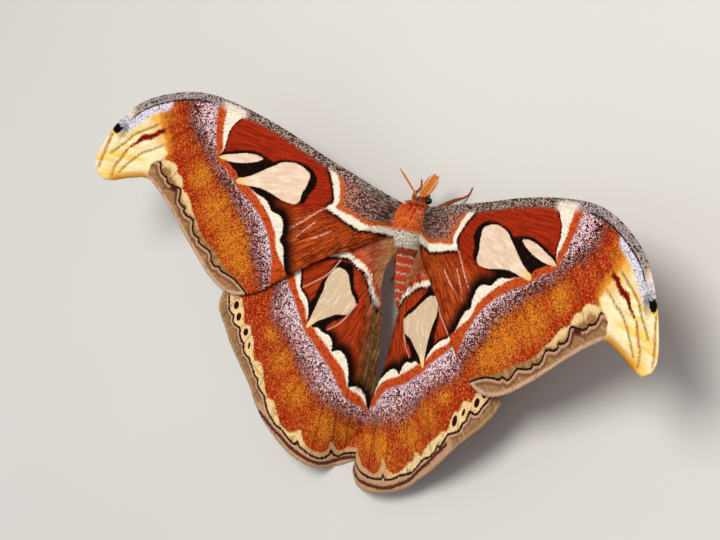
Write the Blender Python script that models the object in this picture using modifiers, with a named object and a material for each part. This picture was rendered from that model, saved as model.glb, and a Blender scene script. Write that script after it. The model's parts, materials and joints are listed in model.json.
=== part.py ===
"""Atlas moth at rest with its wings spread: a still, life-size model.

Lengths here are in millimetres until a mesh is made. The moth faces +Y, its left side is -X, and its
feet stand on z = 0. The last step moves everything so that the origin is under the middle of its box.
"""
import math

import bmesh
import bpy
import numpy as np
from mathutils import Matrix, Vector

MM = 0.001
GAP = 0.3

# Wings: thickness of the membrane, height and half-width of a vein's ridge
MEMBRANE = 0.56
VEIN_HEIGHT = 0.4
VEIN_HALF_WIDTH = 0.8

# A vein fills at most this share of the space between two, and fades out over these shares of its ends
VEIN_SHARE = 0.34
VEIN_FADE = (0.08, 0.05)

# The hinge line of each wing along the thorax's flat side: front end and rear end
HINGE_X = 5.12
HINGE = {
    "fore": ((HINGE_X, 1.3, 14.6), (HINGE_X, -9.6, 14.2)),
    "hind": ((HINGE_X, -3.6, 12.2), (HINGE_X, -12.4, 11.8)),
}
HINGE_BLEND = 0.16
HINGE_STANDOFF = 0.56

# A wing's flat plan, outward and forward from its base, as four sides
FORE_PLAN = {
    "base": [(0, 0.5), (0.4, -6), (1.5, -13)],
    "costa": [(0, 0.5), (20, 4.6), (34, 9), (52, 15.6), (68, 20.2), (84, 23), (94, 22.4), (104.5, 19.4),
              (112.5, 15.4), (118.5, 10), (123.2, 3.6), (127, -4), (128.6, -10), (127, -14), (123.6, -15.9)],
    "inner": [(1.5, -13), (6, -15.2), (13.5, -19.6), (24.5, -25.6), (33.5, -31.6), (42, -37.7),
              (48.5, -42.6), (54.5, -45.3)],
    "outer": [(123.6, -15.9), (119.5, -15.2), (112.5, -13), (105.2, -11.8), (99.5, -15.4), (94, -20.2),
              (86, -28.2), (78, -35.8), (71, -41.9), (64.5, -45.4), (59.5, -46.3), (54.5, -45.3)],
}
HIND_BASE = [(0, 1.5), (0.5, -3), (2.5, -8)]
HIND_COSTA = {
    "left": [(0, 1.5), (10, 0.5), (24, -5), (40, -14), (54, -25), (62, -32), (66.2, -38)],
    "right": [(0, 1.5), (10, 0.5), (24, -5), (40, -14), (53, -24.5), (60, -31), (63.2, -36.5)],
}
HIND_OUTER = {
    "left": [(66.2, -38), (66.6, -43.6), (60.2, -52.2), (53, -60.3), (46.4, -67.6), (41.6, -74.8),
             (34.2, -81.9), (24, -87.9), (14, -89.4), (5.6, -86.8), (0, -83.8), (-6, -81.4)],
    "right": [(63.2, -36.5), (63.6, -42.4), (59.6, -50.6), (54.6, -57.4), (47.8, -64.8), (41, -71.4),
              (33, -77.6), (24, -83.2), (14.5, -86.8), (4, -89.6), (-7, -91.6), (-14, -91.2), (-16.6, -88)],
}
# The inner margin of a hindwing is a soft fold that lies its own way on each side
HIND_INNER = {
    "left": [(2.5, -8), (2.2, -22), (-1.5, -37), (-3, -51), (-4, -63), (-5.4, -72), (-6.4, -78),
             (-6, -81.4)],
    "right": [(2.5, -8), (4.2, -22), (4.8, -37), (3, -51), (-2.5, -62), (-9, -74), (-13.4, -82),
              (-16.6, -88)],
}

# How each wing is held, in degrees: sweep, dihedral, pitch, two spanwise bends, twist and camber
POSE = {
    "forewing_left": (0.0, 17.4, -0.2, 13.1, -13.5, 8.7, 6.1),
    "forewing_right": (-12.9, 23.6, 3.2, 31.9, -24.4, 8.6, 4.9),
    "hindwing_left": (0.0, 10.6, -4.8, 6.9, -1.1, -5.2, 19.8),
    "hindwing_right": (-8.0, 24.2, -5.2, 19.4, 9.6, 5.1, 29.5),
}
WING_BASE = {"fore": (5.0, 3.0, 14.5), "hind": (4.5, -4.5, 13.0)}
SPAN = {"fore": 104.0, "hind": 84.0}

# How far each hindwing's rear lobe is raised, where that starts rearward and inward, and over what runs
LOBE_LIFT = {"left": (-13.2, 56, 32, 22, 30), "right": (10.6, 46, 40, 34, 44)}

# A rear lobe that is lifted also leans to the moth's right, by this much a millimetre
LEAN = 0.86

# How deep each hindwing's front stretch is tucked under the forewing, and where and over what run
TUCK = {"left": (1.0, 22, 14), "right": (3.8, 30, 22)}
TUCK_SLOPE = 0.62
TUCK_FROM = 1
TUCK_RUN = 10

# Rows along a wing and the veins across it, as fractions of its plan
FORE_ROWS = 23
HIND_ROWS = 18
FORE_VEINS = (0.06, 0.16, 0.27, 0.38, 0.50, 0.62, 0.75, 0.89)
HIND_VEINS = (0.10, 0.26, 0.42, 0.58, 0.74, 0.88)

# Body: each station is y, centre height, half-width, rise above the centre, drop below it
HEAD = [(6.1, 9.3, 0.7, 0.8, 0.8), (5.6, 9.6, 1.5, 1.7, 1.6), (4.5, 9.9, 2.1, 2.5, 2.2),
        (3.3, 10.3, 2.3, 2.8, 2.4), (2.3, 10.7, 2.2, 2.6, 2.3)]
THORAX = [(2.0, 12.4, 3.3, 3.4, 3.4), (1.4, 12.9, 4.7, 4.4, 4.3), (0.2, 13.4, 5.4, 5.3, 4.9),
          (-2.4, 13.9, 6.0, 6.0, 5.3), (-5.2, 14.0, 6.2, 6.2, 5.5), (-7.8, 13.7, 6.0, 6.0, 5.4),
          (-10.2, 13.1, 5.6, 5.5, 5.0), (-12.0, 12.4, 5.1, 5.0, 4.6), (-12.8, 12.0, 4.4, 4.4, 4.1)]
ABDOMEN_FRONT_Y = -13.1
ABDOMEN_LENGTH = 22.4
ABDOMEN_SEGMENTS = 7
RINGS_PER_SEGMENT = 4
# Half-width of the abdomen at even steps from front to tip
ABDOMEN_WIDTHS = (4.1, 4.3, 4.1, 3.7, 3.2, 2.5, 0.9)
# Its centre line's height, as the start, the slope and the bend; how a segment swells; how flat it is below
ABDOMEN_HEIGHT = (11.4, -2.6, -0.8)
SEGMENT_SWELL = (0.98, 0.05)
ABDOMEN_BELOW = 0.95

# The flat that the wings' hinges meet on each side of the thorax
SIDE_CUT_X = (HINGE_X - HINGE_STANDOFF, 20)
SIDE_CUT_Y = (-20, 10)
SIDE_CUT_Z = (9.9, 16.6)

BODY_SIDES = 20
EYE_RADIUS = 1.2
EYE_AT = (1.95, 4.0, 10.1)

# Legs on the right, from the thorax to the claw, as (out, forward, up)
LEG_RADII = (0.95, 1.05, 0.8, 0.6, 0.45, 0.4)
LEG_RINGS = 12
LEGS = {
    "front": [(2.4, -0.6, 7.7), (5.6, 2.6, 7.4), (8.8, 6.0, 5.2), (10.2, 8.2, 1.8), (10.8, 9.8, 0.22),
              (11.4, 12.0, 0.2)],
    "middle": [(2.8, -4.6, 7.5), (7.4, -4.2, 7.6), (12.6, -3.4, 5.8), (15.4, -2.6, 1.8), (16.8, -2.2, 0.22),
               (18.8, -1.6, 0.2)],
    "hind": [(2.6, -9.4, 7.4), (6.0, -13.4, 7.2), (9.6, -18.0, 5.2), (11.8, -21.4, 1.7), (12.8, -23.2, 0.22),
             (14.0, -25.0, 0.2)],
}

# Antennae: a shaft that leads outward and forward, with a comb of branches on each side
ANTENNA_BASE = (1.0, 4.7, 13.2)
ANTENNA_LENGTH = 11.5
ANTENNA_AZIMUTH = 46
ANTENNA_ELEVATION = {"left": 12, "right": 22}
ANTENNA_RADII = (0.36, 0.225)
ANTENNA_RINGS = 9
ANTENNA_PAIRS = 12
# The direction of each antenna's comb, as (out, forward, up)
COMB_DIRECTION = {"left": (0.45, -0.20, -0.87), "right": (0.70, -0.355, -0.62)}
COMB_LENGTH = 2.1
COMB_RADII = (0.27, 0.14)
COMB_LEAN = 0.42
COMB_SINK = 0.05
COMB_SIDES = 5

# The branches' lengths follow an arch over this stretch of a half circle, flattened by a power
COMB_ARCH = (0.16, 0.78, 0.7)
# Where along the shaft the first pair stands, and what is left past the last, in steps
COMB_MARGINS = (1.2, 0.6)

COLOURS = {
    "wing": (0.55, 0.2, 0.07),
    "thorax": (0.62, 0.17, 0.04),
    "abdomen": (0.5, 0.09, 0.04),
    "head": (0.3, 0.03, 0.02),
    "eye": (0.03, 0.02, 0.02),
    "antenna": (0.6, 0.26, 0.07),
    "leg": (0.4, 0.12, 0.04),
}


def smooth(x):
    x = np.clip(x, 0.0, 1.0)
    return x * x * (3 - 2 * x)


def spline(points, fractions):
    """A smooth curve through the points, read at fractions of its length."""
    p = np.asarray(points, float)
    knots = np.concatenate([[0], np.cumsum(np.linalg.norm(np.diff(p, axis=0), axis=1) ** 0.5)])
    slopes = np.gradient(p, knots, axis=0)

    def at(q):
        i = np.clip(np.searchsorted(knots, q, side="right") - 1, 0, len(knots) - 2)
        h = (knots[i + 1] - knots[i])[:, None]
        x = (q - knots[i])[:, None] / h
        start = (2 * x ** 3 - 3 * x ** 2 + 1) * p[i] + (x ** 3 - 2 * x ** 2 + x) * h * slopes[i]
        return start + (3 * x ** 2 - 2 * x ** 3) * p[i + 1] + (x ** 3 - x ** 2) * h * slopes[i + 1]

    fine = np.linspace(0, knots[-1], 600)
    steps = np.linalg.norm(np.diff(at(fine), axis=0), axis=1)
    along = np.concatenate([[0], np.cumsum(steps)])
    return at(np.interp(np.asarray(fractions, float) * along[-1], along, fine))


def turn(axis, angle):
    c, s = math.cos(angle), math.sin(angle)
    rows = {
        "x": [[1, 0, 0], [0, c, -s], [0, s, c]],
        "y": [[c, 0, s], [0, 1, 0], [-s, 0, c]],
        "z": [[c, -s, 0], [s, c, 0], [0, 0, 1]],
    }
    return np.array(rows[axis])


def plan_points(plan, s, t):
    """Plan position for each pair s, t: s runs from the base to the margin, t from the costa back."""
    costa, inner = spline(plan["costa"], s), spline(plan["inner"], s)
    base, outer = spline(plan["base"], t), spline(plan["outer"], t)
    s, t = s[:, None], t[:, None]
    corners = (1 - s) * ((1 - t) * np.array(plan["base"][0]) + t * np.array(plan["base"][-1]))
    corners = corners + s * ((1 - t) * np.array(plan["outer"][0]) + t * np.array(plan["outer"][-1]))
    return (1 - t) * costa + t * inner + (1 - s) * base + s * outer - corners


def held(uv, name, kind):
    """The plan bent, twisted and turned into the pose of the named wing, as for a right wing."""
    sweep, dihedral, pitch, bend, curl, twist, camber = np.radians(POSE[name])
    length = SPAN[kind]
    u, v = uv[:, 0], uv[:, 1]
    s = u / length
    sag = -camber * v * v / length / 2
    angle = twist * s
    forward = v * np.cos(angle) - sag * np.sin(angle)
    up = v * np.sin(angle) + sag * np.cos(angle)
    arc = bend * s + curl * s * s
    shortening = bend ** 2 * s ** 3 / 3 + bend * curl * s ** 4 / 2 + curl ** 2 * s ** 5 / 5
    out = u - length / 2 * shortening + up * np.sin(arc)
    rise = -length * (bend * s * s / 2 + curl * s ** 3 / 3) + up * np.cos(arc)
    points = np.stack([out, forward, rise], axis=1)
    matrix = turn("z", sweep) @ turn("y", -dihedral) @ turn("x", pitch)
    return points @ matrix.T + np.array(WING_BASE[kind])


def lobe_lift(name, uv):
    """How far the rear lobe of a hindwing is let down to the floor, or raised over the other one."""
    kind, hand = name.split("_")
    if kind == "forewing":
        return np.zeros(len(uv))
    height, rearward, rear_run, inward, in_run = LOBE_LIFT[hand]
    return height * smooth((-uv[:, 1] - rearward) / rear_run) * smooth((inward - uv[:, 0]) / in_run)


def tuck(name, uv):
    """How far a hindwing's front stretch lies lower, to clear the forewing over it."""
    kind, hand = name.split("_")
    if kind == "forewing":
        return np.zeros(len(uv))
    depth, start, run = TUCK[hand]
    outward = smooth((uv[:, 0] - TUCK_FROM) / TUCK_RUN)
    return depth * outward * smooth((uv[:, 1] + TUCK_SLOPE * uv[:, 0] + start) / run)


def make_material(slot):
    material = bpy.data.materials.new(slot)
    material.use_nodes = True
    shader = material.node_tree.nodes["Principled BSDF"]
    shader.inputs["Base Color"].default_value = (*COLOURS[slot], 1)
    shader.inputs["Roughness"].default_value = 0.25 if slot == "eye" else 0.85
    shader.inputs["Metallic"].default_value = 0.0
    return material


def add_object(name, bm, slot, collection):
    mesh = bpy.data.meshes.new(name)
    bm.to_mesh(mesh)
    bm.free()
    mesh.shade_smooth()
    mesh.materials.append(make_material(slot))
    obj = bpy.data.objects.new(name, mesh)
    collection.objects.link(obj)
    return obj


def vein_columns(veins, width):
    """Positions across a wing at one row: three for each vein, and two along the rear edge."""
    spacing = min(np.diff(veins))
    half = min(VEIN_HALF_WIDTH / width, VEIN_SHARE * spacing)
    columns = [0.0]
    for vein in veins:
        columns += [vein - half, vein, vein + half]
    return np.array(columns + [(1 + veins[-1]) / 2, 1.0])


def wing(name, kind, side, collection):
    """A thin shell over the posed plan, with its main veins raised as ridges."""
    hand = name.split("_")[1]
    if kind == "fore":
        plan, veins, rows = FORE_PLAN, FORE_VEINS, FORE_ROWS
    else:
        plan = {
            "base": HIND_BASE,
            "costa": HIND_COSTA[hand],
            "inner": HIND_INNER[hand],
            "outer": HIND_OUTER[hand],
        }
        veins, rows = HIND_VEINS, HIND_ROWS
    front, rear = np.array(HINGE[kind][0]), np.array(HINGE[kind][1])
    grid = []
    for s in np.linspace(0, 1, rows):
        ends = plan_points(plan, np.array([s, s]), np.array([0.0, 1.0]))
        t = vein_columns(veins, np.linalg.norm(ends[1] - ends[0]))
        uv = plan_points(plan, np.full(len(t), s), t)
        points = held(uv, name, kind)
        points[:, 2] -= tuck(name, uv)
        moved = np.maximum(lobe_lift(name, uv), MEMBRANE / 2 - points[:, 2])
        points = points + moved[:, None] * np.array([LEAN * side, 0, 1])
        base_uv = plan_points(plan, np.zeros(len(t)), t)
        hinge = front + (rear - front) * t[:, None]
        hold = 1 - smooth(s / HINGE_BLEND)
        points = points + hold * (hinge - held(base_uv, name, kind))
        fade = float(smooth(s / VEIN_FADE[0]) * smooth((1 - s) / VEIN_FADE[1]))
        for index in range(len(veins)):
            points[3 * index + 2, 2] += VEIN_HEIGHT * fade
        grid.append(points * np.array([side, 1, 1]))
    bm = bmesh.new()
    columns = len(grid[0])
    verts = [[bm.verts.new(point * MM) for point in row] for row in grid]
    for i in range(rows - 1):
        for k in range(columns - 1):
            corners = (verts[i][k], verts[i + 1][k], verts[i + 1][k + 1], verts[i][k + 1])
            bm.faces.new(corners if side < 0 else corners[::-1])
    bmesh.ops.triangulate(bm, faces=bm.faces, quad_method="FIXED")
    obj = add_object(name, bm, "wing", collection)
    shell = obj.modifiers.new("Membrane", "SOLIDIFY")
    shell.thickness = MEMBRANE * MM
    shell.offset = 0
    return obj


def loft(name, stations, slot, collection, sides=BODY_SIDES):
    """A closed body through oval rings along Y."""
    bm = bmesh.new()
    rings = []
    for y, z, half_width, rise, drop in stations:
        ring = []
        for k in range(sides):
            angle = 2 * math.pi * k / sides
            height = rise if math.sin(angle) > 0 else drop
            x = half_width * math.cos(angle)
            ring.append(bm.verts.new((x * MM, y * MM, (z + height * math.sin(angle)) * MM)))
        rings.append(ring)
    for first, second in zip(rings, rings[1:]):
        for k in range(sides):
            n = (k + 1) % sides
            bm.faces.new((first[k], first[n], second[n], second[k]))
    bm.faces.new(rings[0][::-1])
    bm.faces.new(rings[-1])
    bmesh.ops.recalc_face_normals(bm, faces=bm.faces)
    return add_object(name, bm, slot, collection)


def abdomen_stations():
    """Seven segments that swell between their rings and taper to the tip."""
    stations = []
    count = ABDOMEN_SEGMENTS * RINGS_PER_SEGMENT
    start, slope, bend = ABDOMEN_HEIGHT
    knots = np.linspace(0, 1, len(ABDOMEN_WIDTHS))
    for k in range(count + 1):
        along = k / count
        bulge = math.sin(math.pi * (k % RINGS_PER_SEGMENT) / RINGS_PER_SEGMENT)
        swell = SEGMENT_SWELL[0] + SEGMENT_SWELL[1] * bulge
        half = float(np.interp(along, knots, ABDOMEN_WIDTHS)) * swell
        height = start + slope * along + bend * along ** 2
        back = ABDOMEN_FRONT_Y - ABDOMEN_LENGTH * along
        stations.append((back, height, half, half, half * ABDOMEN_BELOW))
    return stations


def tube(name, points, radii, slot, collection, resolution=2):
    """A tapering round tube through the points, as one closed mesh."""
    curve = bpy.data.curves.new(name, "CURVE")
    curve.dimensions = "3D"
    curve.bevel_depth = MM
    curve.bevel_resolution = resolution
    curve.use_fill_caps = True
    curve.resolution_u = 3
    line = curve.splines.new("POLY")
    line.points.add(len(points) - 1)
    for target, point, radius in zip(line.points, points, radii):
        target.co = (*(np.array(point) * MM), 1)
        target.radius = radius
    guide = bpy.data.objects.new(name + "_curve", curve)
    collection.objects.link(guide)
    graph = bpy.context.evaluated_depsgraph_get()
    mesh = bpy.data.meshes.new_from_object(guide.evaluated_get(graph))
    bpy.data.objects.remove(guide)
    bm = bmesh.new()
    bm.from_mesh(mesh)
    bpy.data.meshes.remove(mesh)
    bmesh.ops.remove_doubles(bm, verts=bm.verts, dist=0.000001)
    bmesh.ops.recalc_face_normals(bm, faces=bm.faces)
    return add_object(name, bm, slot, collection)


def leg(name, side, route, collection):
    """A leg whose last joint lies flat on the floor."""
    steps = np.linspace(0, 1, LEG_RINGS)
    path = spline(np.array(route) * [side, 1, 1], steps)
    radii = np.interp(steps, np.linspace(0, 1, len(LEG_RADII)), LEG_RADII)
    obj = tube(name, path, radii, "leg", collection)
    for vertex in obj.data.vertices:
        vertex.co.z = max(vertex.co.z, 0.0)
    return obj


def antenna(name, hand, side, collection):
    """A feathered antenna: branches in pairs, joined to the shaft by one union."""
    azimuth = math.radians(ANTENNA_AZIMUTH)
    elevation = math.radians(ANTENNA_ELEVATION[hand])
    flat = math.cos(elevation)
    shaft = Vector((flat * math.sin(azimuth), flat * math.cos(azimuth), math.sin(elevation)))
    comb = Vector(COMB_DIRECTION[hand])
    comb = (comb - shaft * comb.dot(shaft)).normalized()
    base = Vector(ANTENNA_BASE)
    mirror = Vector((side, 1, 1))
    steps = np.linspace(0, 1, ANTENNA_RINGS)
    path = [(base + shaft * ANTENNA_LENGTH * float(a)) * mirror for a in steps]
    radii = np.interp(steps, (0, 1), ANTENNA_RADII)
    obj = tube(name, path, radii, "antenna", collection, resolution=1)
    branches = bpy.data.collections.new(name + "_branches")
    bpy.context.scene.collection.children.link(branches)
    for k in range(ANTENNA_PAIRS):
        along = (k + COMB_MARGINS[0]) / (ANTENNA_PAIRS + COMB_MARGINS[1])
        length = COMB_LENGTH * math.sin(math.pi * (COMB_ARCH[0] + COMB_ARCH[1] * along)) ** COMB_ARCH[2]
        root = base + shaft * ANTENNA_LENGTH * along
        for way in (-1, 1):
            direction = ((comb * way + shaft * COMB_LEAN) * mirror).normalized()
            bm = bmesh.new()
            bmesh.ops.create_cone(bm, cap_ends=True, segments=COMB_SIDES, radius1=COMB_RADII[0],
                                  radius2=COMB_RADII[1], depth=length)
            bmesh.ops.translate(bm, verts=bm.verts, vec=(0, 0, length / 2 - COMB_SINK))
            turned = direction.to_track_quat("Z", "Y").to_matrix().to_4x4()
            place = Matrix.Scale(MM, 4) @ Matrix.Translation(root * mirror) @ turned
            bmesh.ops.transform(bm, matrix=place, verts=bm.verts)
            add_object(name + "_branch", bm, "antenna", branches)
    union = obj.modifiers.new("Comb", "BOOLEAN")
    union.operation = "UNION"
    union.operand_type = "COLLECTION"
    union.collection = branches
    bake_modifiers(obj)
    for piece in list(branches.objects):
        bpy.data.objects.remove(piece)
    bpy.data.collections.remove(branches)
    keep_largest(obj)


def bake_modifiers(obj):
    """Replaces the object's mesh by what its modifiers make of it."""
    graph = bpy.context.evaluated_depsgraph_get()
    mesh = bpy.data.meshes.new_from_object(obj.evaluated_get(graph))
    obj.modifiers.clear()
    obj.data = mesh


def keep_largest(obj):
    """Drops every loose surface of a mesh but the one with the most faces."""
    bm = bmesh.new()
    bm.from_mesh(obj.data)
    bmesh.ops.triangulate(bm, faces=bm.faces)
    left = set(bm.verts)
    groups = []
    while left:
        stack = [left.pop()]
        group = set(stack)
        while stack:
            for edge in stack.pop().link_edges:
                for vertex in edge.verts:
                    if vertex in left:
                        left.remove(vertex)
                        group.add(vertex)
                        stack.append(vertex)
        groups.append(group)
    groups.sort(key=len)
    for group in groups[:-1]:
        bmesh.ops.delete(bm, geom=list(group), context="VERTS")
    bm.to_mesh(obj.data)
    bm.free()


def eyeball(name, side, radius, slot, collection):
    bm = bmesh.new()
    bmesh.ops.create_uvsphere(bm, u_segments=16, v_segments=10, radius=radius * MM)
    obj = add_object(name, bm, slot, collection)
    x, y, z = EYE_AT
    obj.location = (side * x * MM, y * MM, z * MM)
    return obj


def box_cutter(name, low, high, collection):
    bm = bmesh.new()
    bmesh.ops.create_cube(bm, size=1)
    centre = (np.array(low) + np.array(high)) / 2
    size = np.array(high) - np.array(low)
    for vertex in bm.verts:
        vertex.co = (centre + size * np.array(vertex.co)) * MM
    return as_cutter(add_object(name, bm, "thorax", collection))


def as_cutter(obj):
    obj.hide_render = True
    obj.display_type = "WIRE"
    return obj


def cut(obj, cutter):
    modifier = obj.modifiers.new("Cut", "BOOLEAN")
    modifier.operation = "DIFFERENCE"
    modifier.object = cutter


def centre_over_origin(objects, helpers):
    """Moves the model and its cutters so that the lowest face of its box is centred on the origin."""
    graph = bpy.context.evaluated_depsgraph_get()
    corners = []
    for obj in objects:
        done = obj.evaluated_get(graph)
        mesh = done.to_mesh()
        corners += [done.matrix_world @ vertex.co for vertex in mesh.vertices]
        done.to_mesh_clear()
    low = np.min(np.array(corners), axis=0)
    high = np.max(np.array(corners), axis=0)
    shift = np.array([-(low[0] + high[0]) / 2, -(low[1] + high[1]) / 2, -low[2]])
    for obj in [*objects, *helpers]:
        obj.location = np.array(obj.location) + shift


def main():
    for obj in list(bpy.data.objects):
        bpy.data.objects.remove(obj)
    parts = bpy.data.collections.new("atlas_moth")
    cutters = bpy.data.collections.new("cutters")
    bpy.context.scene.collection.children.link(parts)
    bpy.context.scene.collection.children.link(cutters)

    head = loft("head", HEAD, "head", parts)
    thorax = loft("thorax", THORAX, "thorax", parts)
    loft("abdomen", abdomen_stations(), "abdomen", parts)
    for hand, side in (("left", -1), ("right", 1)):
        low_x, high_x = sorted(side * x for x in SIDE_CUT_X)
        low, high = zip((low_x, high_x), SIDE_CUT_Y, SIDE_CUT_Z)
        flank = box_cutter("flank_" + hand, low, high, cutters)
        cut(thorax, flank)
        eyeball("eye_" + hand, side, EYE_RADIUS, "eye", parts)
        cut(head, as_cutter(eyeball("socket_" + hand, side, EYE_RADIUS + GAP, "head", cutters)))
        antenna("antenna_" + hand, hand, side, parts)
        wing("forewing_" + hand, "fore", side, parts)
        wing("hindwing_" + hand, "hind", side, parts)
        for row, route in LEGS.items():
            leg("leg_" + row + "_" + hand, side, route, parts)
    centre_over_origin(parts.objects, cutters.objects)


main()
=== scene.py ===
"""The looks of a still, life-size atlas moth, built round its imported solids.

Lengths are in millimetres in the moth's own frame until a mesh is made. The moth faces +Y and its left side
is -X. Each wing is laid out flat first: u runs outward and v forward from the wing's base, and the pattern
is drawn there as named lines. Their distances go to the materials as attributes.
"""
import json
import math

import bmesh
import bpy
import numpy as np
from mathutils import Matrix, Vector
from mathutils.kdtree import KDTree

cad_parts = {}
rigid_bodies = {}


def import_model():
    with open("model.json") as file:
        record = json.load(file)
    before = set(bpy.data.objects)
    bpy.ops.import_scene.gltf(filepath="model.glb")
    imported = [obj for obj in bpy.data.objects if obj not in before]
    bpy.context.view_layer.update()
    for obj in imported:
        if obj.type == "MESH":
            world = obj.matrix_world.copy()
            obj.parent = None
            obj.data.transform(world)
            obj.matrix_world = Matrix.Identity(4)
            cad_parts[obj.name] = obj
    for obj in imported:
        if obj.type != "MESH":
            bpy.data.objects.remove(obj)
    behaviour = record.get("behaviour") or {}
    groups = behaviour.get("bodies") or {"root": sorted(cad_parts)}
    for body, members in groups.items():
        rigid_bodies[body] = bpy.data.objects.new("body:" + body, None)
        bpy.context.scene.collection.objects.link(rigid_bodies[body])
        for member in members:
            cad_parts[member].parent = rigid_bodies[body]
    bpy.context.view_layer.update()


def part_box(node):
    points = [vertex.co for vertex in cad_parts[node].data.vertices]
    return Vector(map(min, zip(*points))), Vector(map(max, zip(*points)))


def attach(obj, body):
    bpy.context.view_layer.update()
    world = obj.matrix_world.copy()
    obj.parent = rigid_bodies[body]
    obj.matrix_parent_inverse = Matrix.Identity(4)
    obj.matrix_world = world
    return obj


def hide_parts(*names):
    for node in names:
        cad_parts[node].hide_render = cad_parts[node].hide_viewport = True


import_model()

MM = 0.001
SEED = 11
SIDES = {"left": -1, "right": 1}
FLOOR_GAP = 0.01

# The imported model's origin is under the middle of its box; the thorax tells where the moth's own frame is
THORAX_FRONT_Y = 2.0
THORAX_LOW, THORAX_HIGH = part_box("thorax")
SHIFT = np.array([(THORAX_LOW.x + THORAX_HIGH.x) / 2 / MM, THORAX_HIGH.y / MM - THORAX_FRONT_Y, 0.0])

# Camera: on the moth's right, looking down and across, with its image rolled
CAMERA_ROLL = math.radians(14.01)
CAMERA_ACROSS = math.radians(-40.76)
CAMERA_BACK = math.radians(2.007)
CAMERA_TARGET = np.array([-16.43, -24.40, 15.0])
CAMERA_DISTANCE = 543.6
CAMERA_LENS = 78.17
SENSOR_WIDTH = 36.0

# Lights: name, place in metres, size, power and colour
LIGHTS = [
    ("key", (0.16, 0.26, 1.02), 0.5, 9.6, (1.0, 0.97, 0.92)),
    ("fill", (-0.8, -0.3, 0.7), 0.9, 1.6, (0.96, 0.98, 1.0)),
]
SKY = (0.93, 0.95, 1.0, 1.0)
SKY_STRENGTH = 0.46
FLOOR_RADIUS = 4.0

# Wings: half thicknesses, grid, hinges, pose angles in degrees, and where they lie lower or higher
WINGS = ("forewing_left", "forewing_right", "hindwing_left", "hindwing_right")
MEMBRANE_HALF = 0.14
WINDOW_HALF = 0.09
WING_GRID = {"fore": (232, 104), "hind": (160, 160)}
HINGE_X = 5.12
HINGE = {
    "fore": ((HINGE_X, 1.3, 14.6), (HINGE_X, -9.6, 14.2)),
    "hind": ((HINGE_X, -3.6, 12.2), (HINGE_X, -12.4, 11.8)),
}
HINGE_BLEND = 0.16
POSE = {
    "forewing_left": (0.0, 17.4, -0.2, 13.1, -13.5, 8.7, 6.1),
    "forewing_right": (-12.9, 23.6, 3.2, 31.9, -24.4, 8.6, 4.9),
    "hindwing_left": (0.0, 10.6, -4.8, 6.9, -1.1, -5.2, 19.8),
    "hindwing_right": (-8.0, 24.2, -5.2, 19.4, 9.6, 5.1, 29.5),
}
WING_BASE = {"fore": (5.0, 3.0, 14.5), "hind": (4.5, -4.5, 13.0)}
SPAN = {"fore": 104.0, "hind": 84.0}
LEAN = 0.86
LOBE_LIFT = {"left": (-13.2, 56, 32, 22, 30), "right": (10.6, 46, 40, 34, 44)}
PATTERN_DRAW = (7.6, 44, 16, 27, 22)
TUCK = {"left": (1.0, 22, 14), "right": (3.8, 30, 22)}
TUCK_SLOPE = 0.62
TUCK_FROM = 1
TUCK_RUN = 10
FLOOR_CLEARANCE = 0.28
VEINS = {
    "fore": (0.06, 0.16, 0.27, 0.38, 0.50, 0.62, 0.75, 0.89),
    "hind": (0.10, 0.26, 0.42, 0.58, 0.74, 0.88),
}
VEIN_HEIGHT = 0.2
VEIN_WIDTH = 0.5
VEIN_FAR = 5.0
RAY_CENTRE = (-6.0, 2.0)

# Flat outlines of the wings
FORE_PLAN = {
    "base": [(0, 0.5), (0.4, -6), (1.5, -13)],
    "costa": [
        (0, 0.5), (20, 4.6), (34, 9), (52, 15.6), (68, 20.2), (84, 23), (94, 22.4), (104.5, 19.4),
        (112.5, 15.4), (118.5, 10), (123.2, 3.6), (127, -4), (128.6, -10), (127, -14), (123.6, -15.9),
    ],
    "inner": [
        (1.5, -13), (6, -15.2), (13.5, -19.6), (24.5, -25.6), (33.5, -31.6), (42, -37.7), (48.5, -42.6),
        (54.5, -45.3),
    ],
    "outer": [
        (123.6, -15.9), (119.5, -15.2), (112.5, -13), (105.2, -11.8), (99.5, -15.4), (94, -20.2),
        (86, -28.2), (78, -35.8), (71, -41.9), (64.5, -45.4), (59.5, -46.3), (54.5, -45.3),
    ],
}
# A hindwing's costa and margin are worn, and its inner margin is a soft fold, each side in its own way
HIND_PLAN = {
    "base": [(0, 1.5), (0.5, -3), (2.5, -8)],
    "costa": {
        "left": [(0, 1.5), (10, 0.5), (24, -5), (40, -14), (54, -25), (62, -32), (66.2, -38)],
        "right": [(0, 1.5), (10, 0.5), (24, -5), (40, -14), (53, -24.5), (60, -31), (63.2, -36.5)],
    },
    "inner": {
        "left": [
            (2.5, -8), (2.2, -22), (-1.5, -37), (-3, -51), (-4, -63), (-5.4, -72), (-6.4, -78),
            (-6, -81.4),
        ],
        "right": [
            (2.5, -8), (4.2, -22), (4.8, -37), (3, -51), (-2.5, -62), (-9, -74), (-13.4, -82),
            (-16.6, -88),
        ],
    },
    "outer": {
        "left": [
            (66.2, -38), (66.6, -43.6), (60.2, -52.2), (53, -60.3), (46.4, -67.6), (41.6, -74.8),
            (34.2, -81.9), (24, -87.9), (14, -89.4), (5.6, -86.8), (0, -83.8), (-6, -81.4),
        ],
        "right": [
            (63.2, -36.5), (63.6, -42.4), (59.6, -50.6), (54.6, -57.4), (47.8, -64.8), (41, -71.4),
            (33, -77.6), (24, -83.2), (14.5, -86.8), (4, -89.6), (-7, -91.6), (-14, -91.2), (-16.6, -88),
        ],
    },
}

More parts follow.
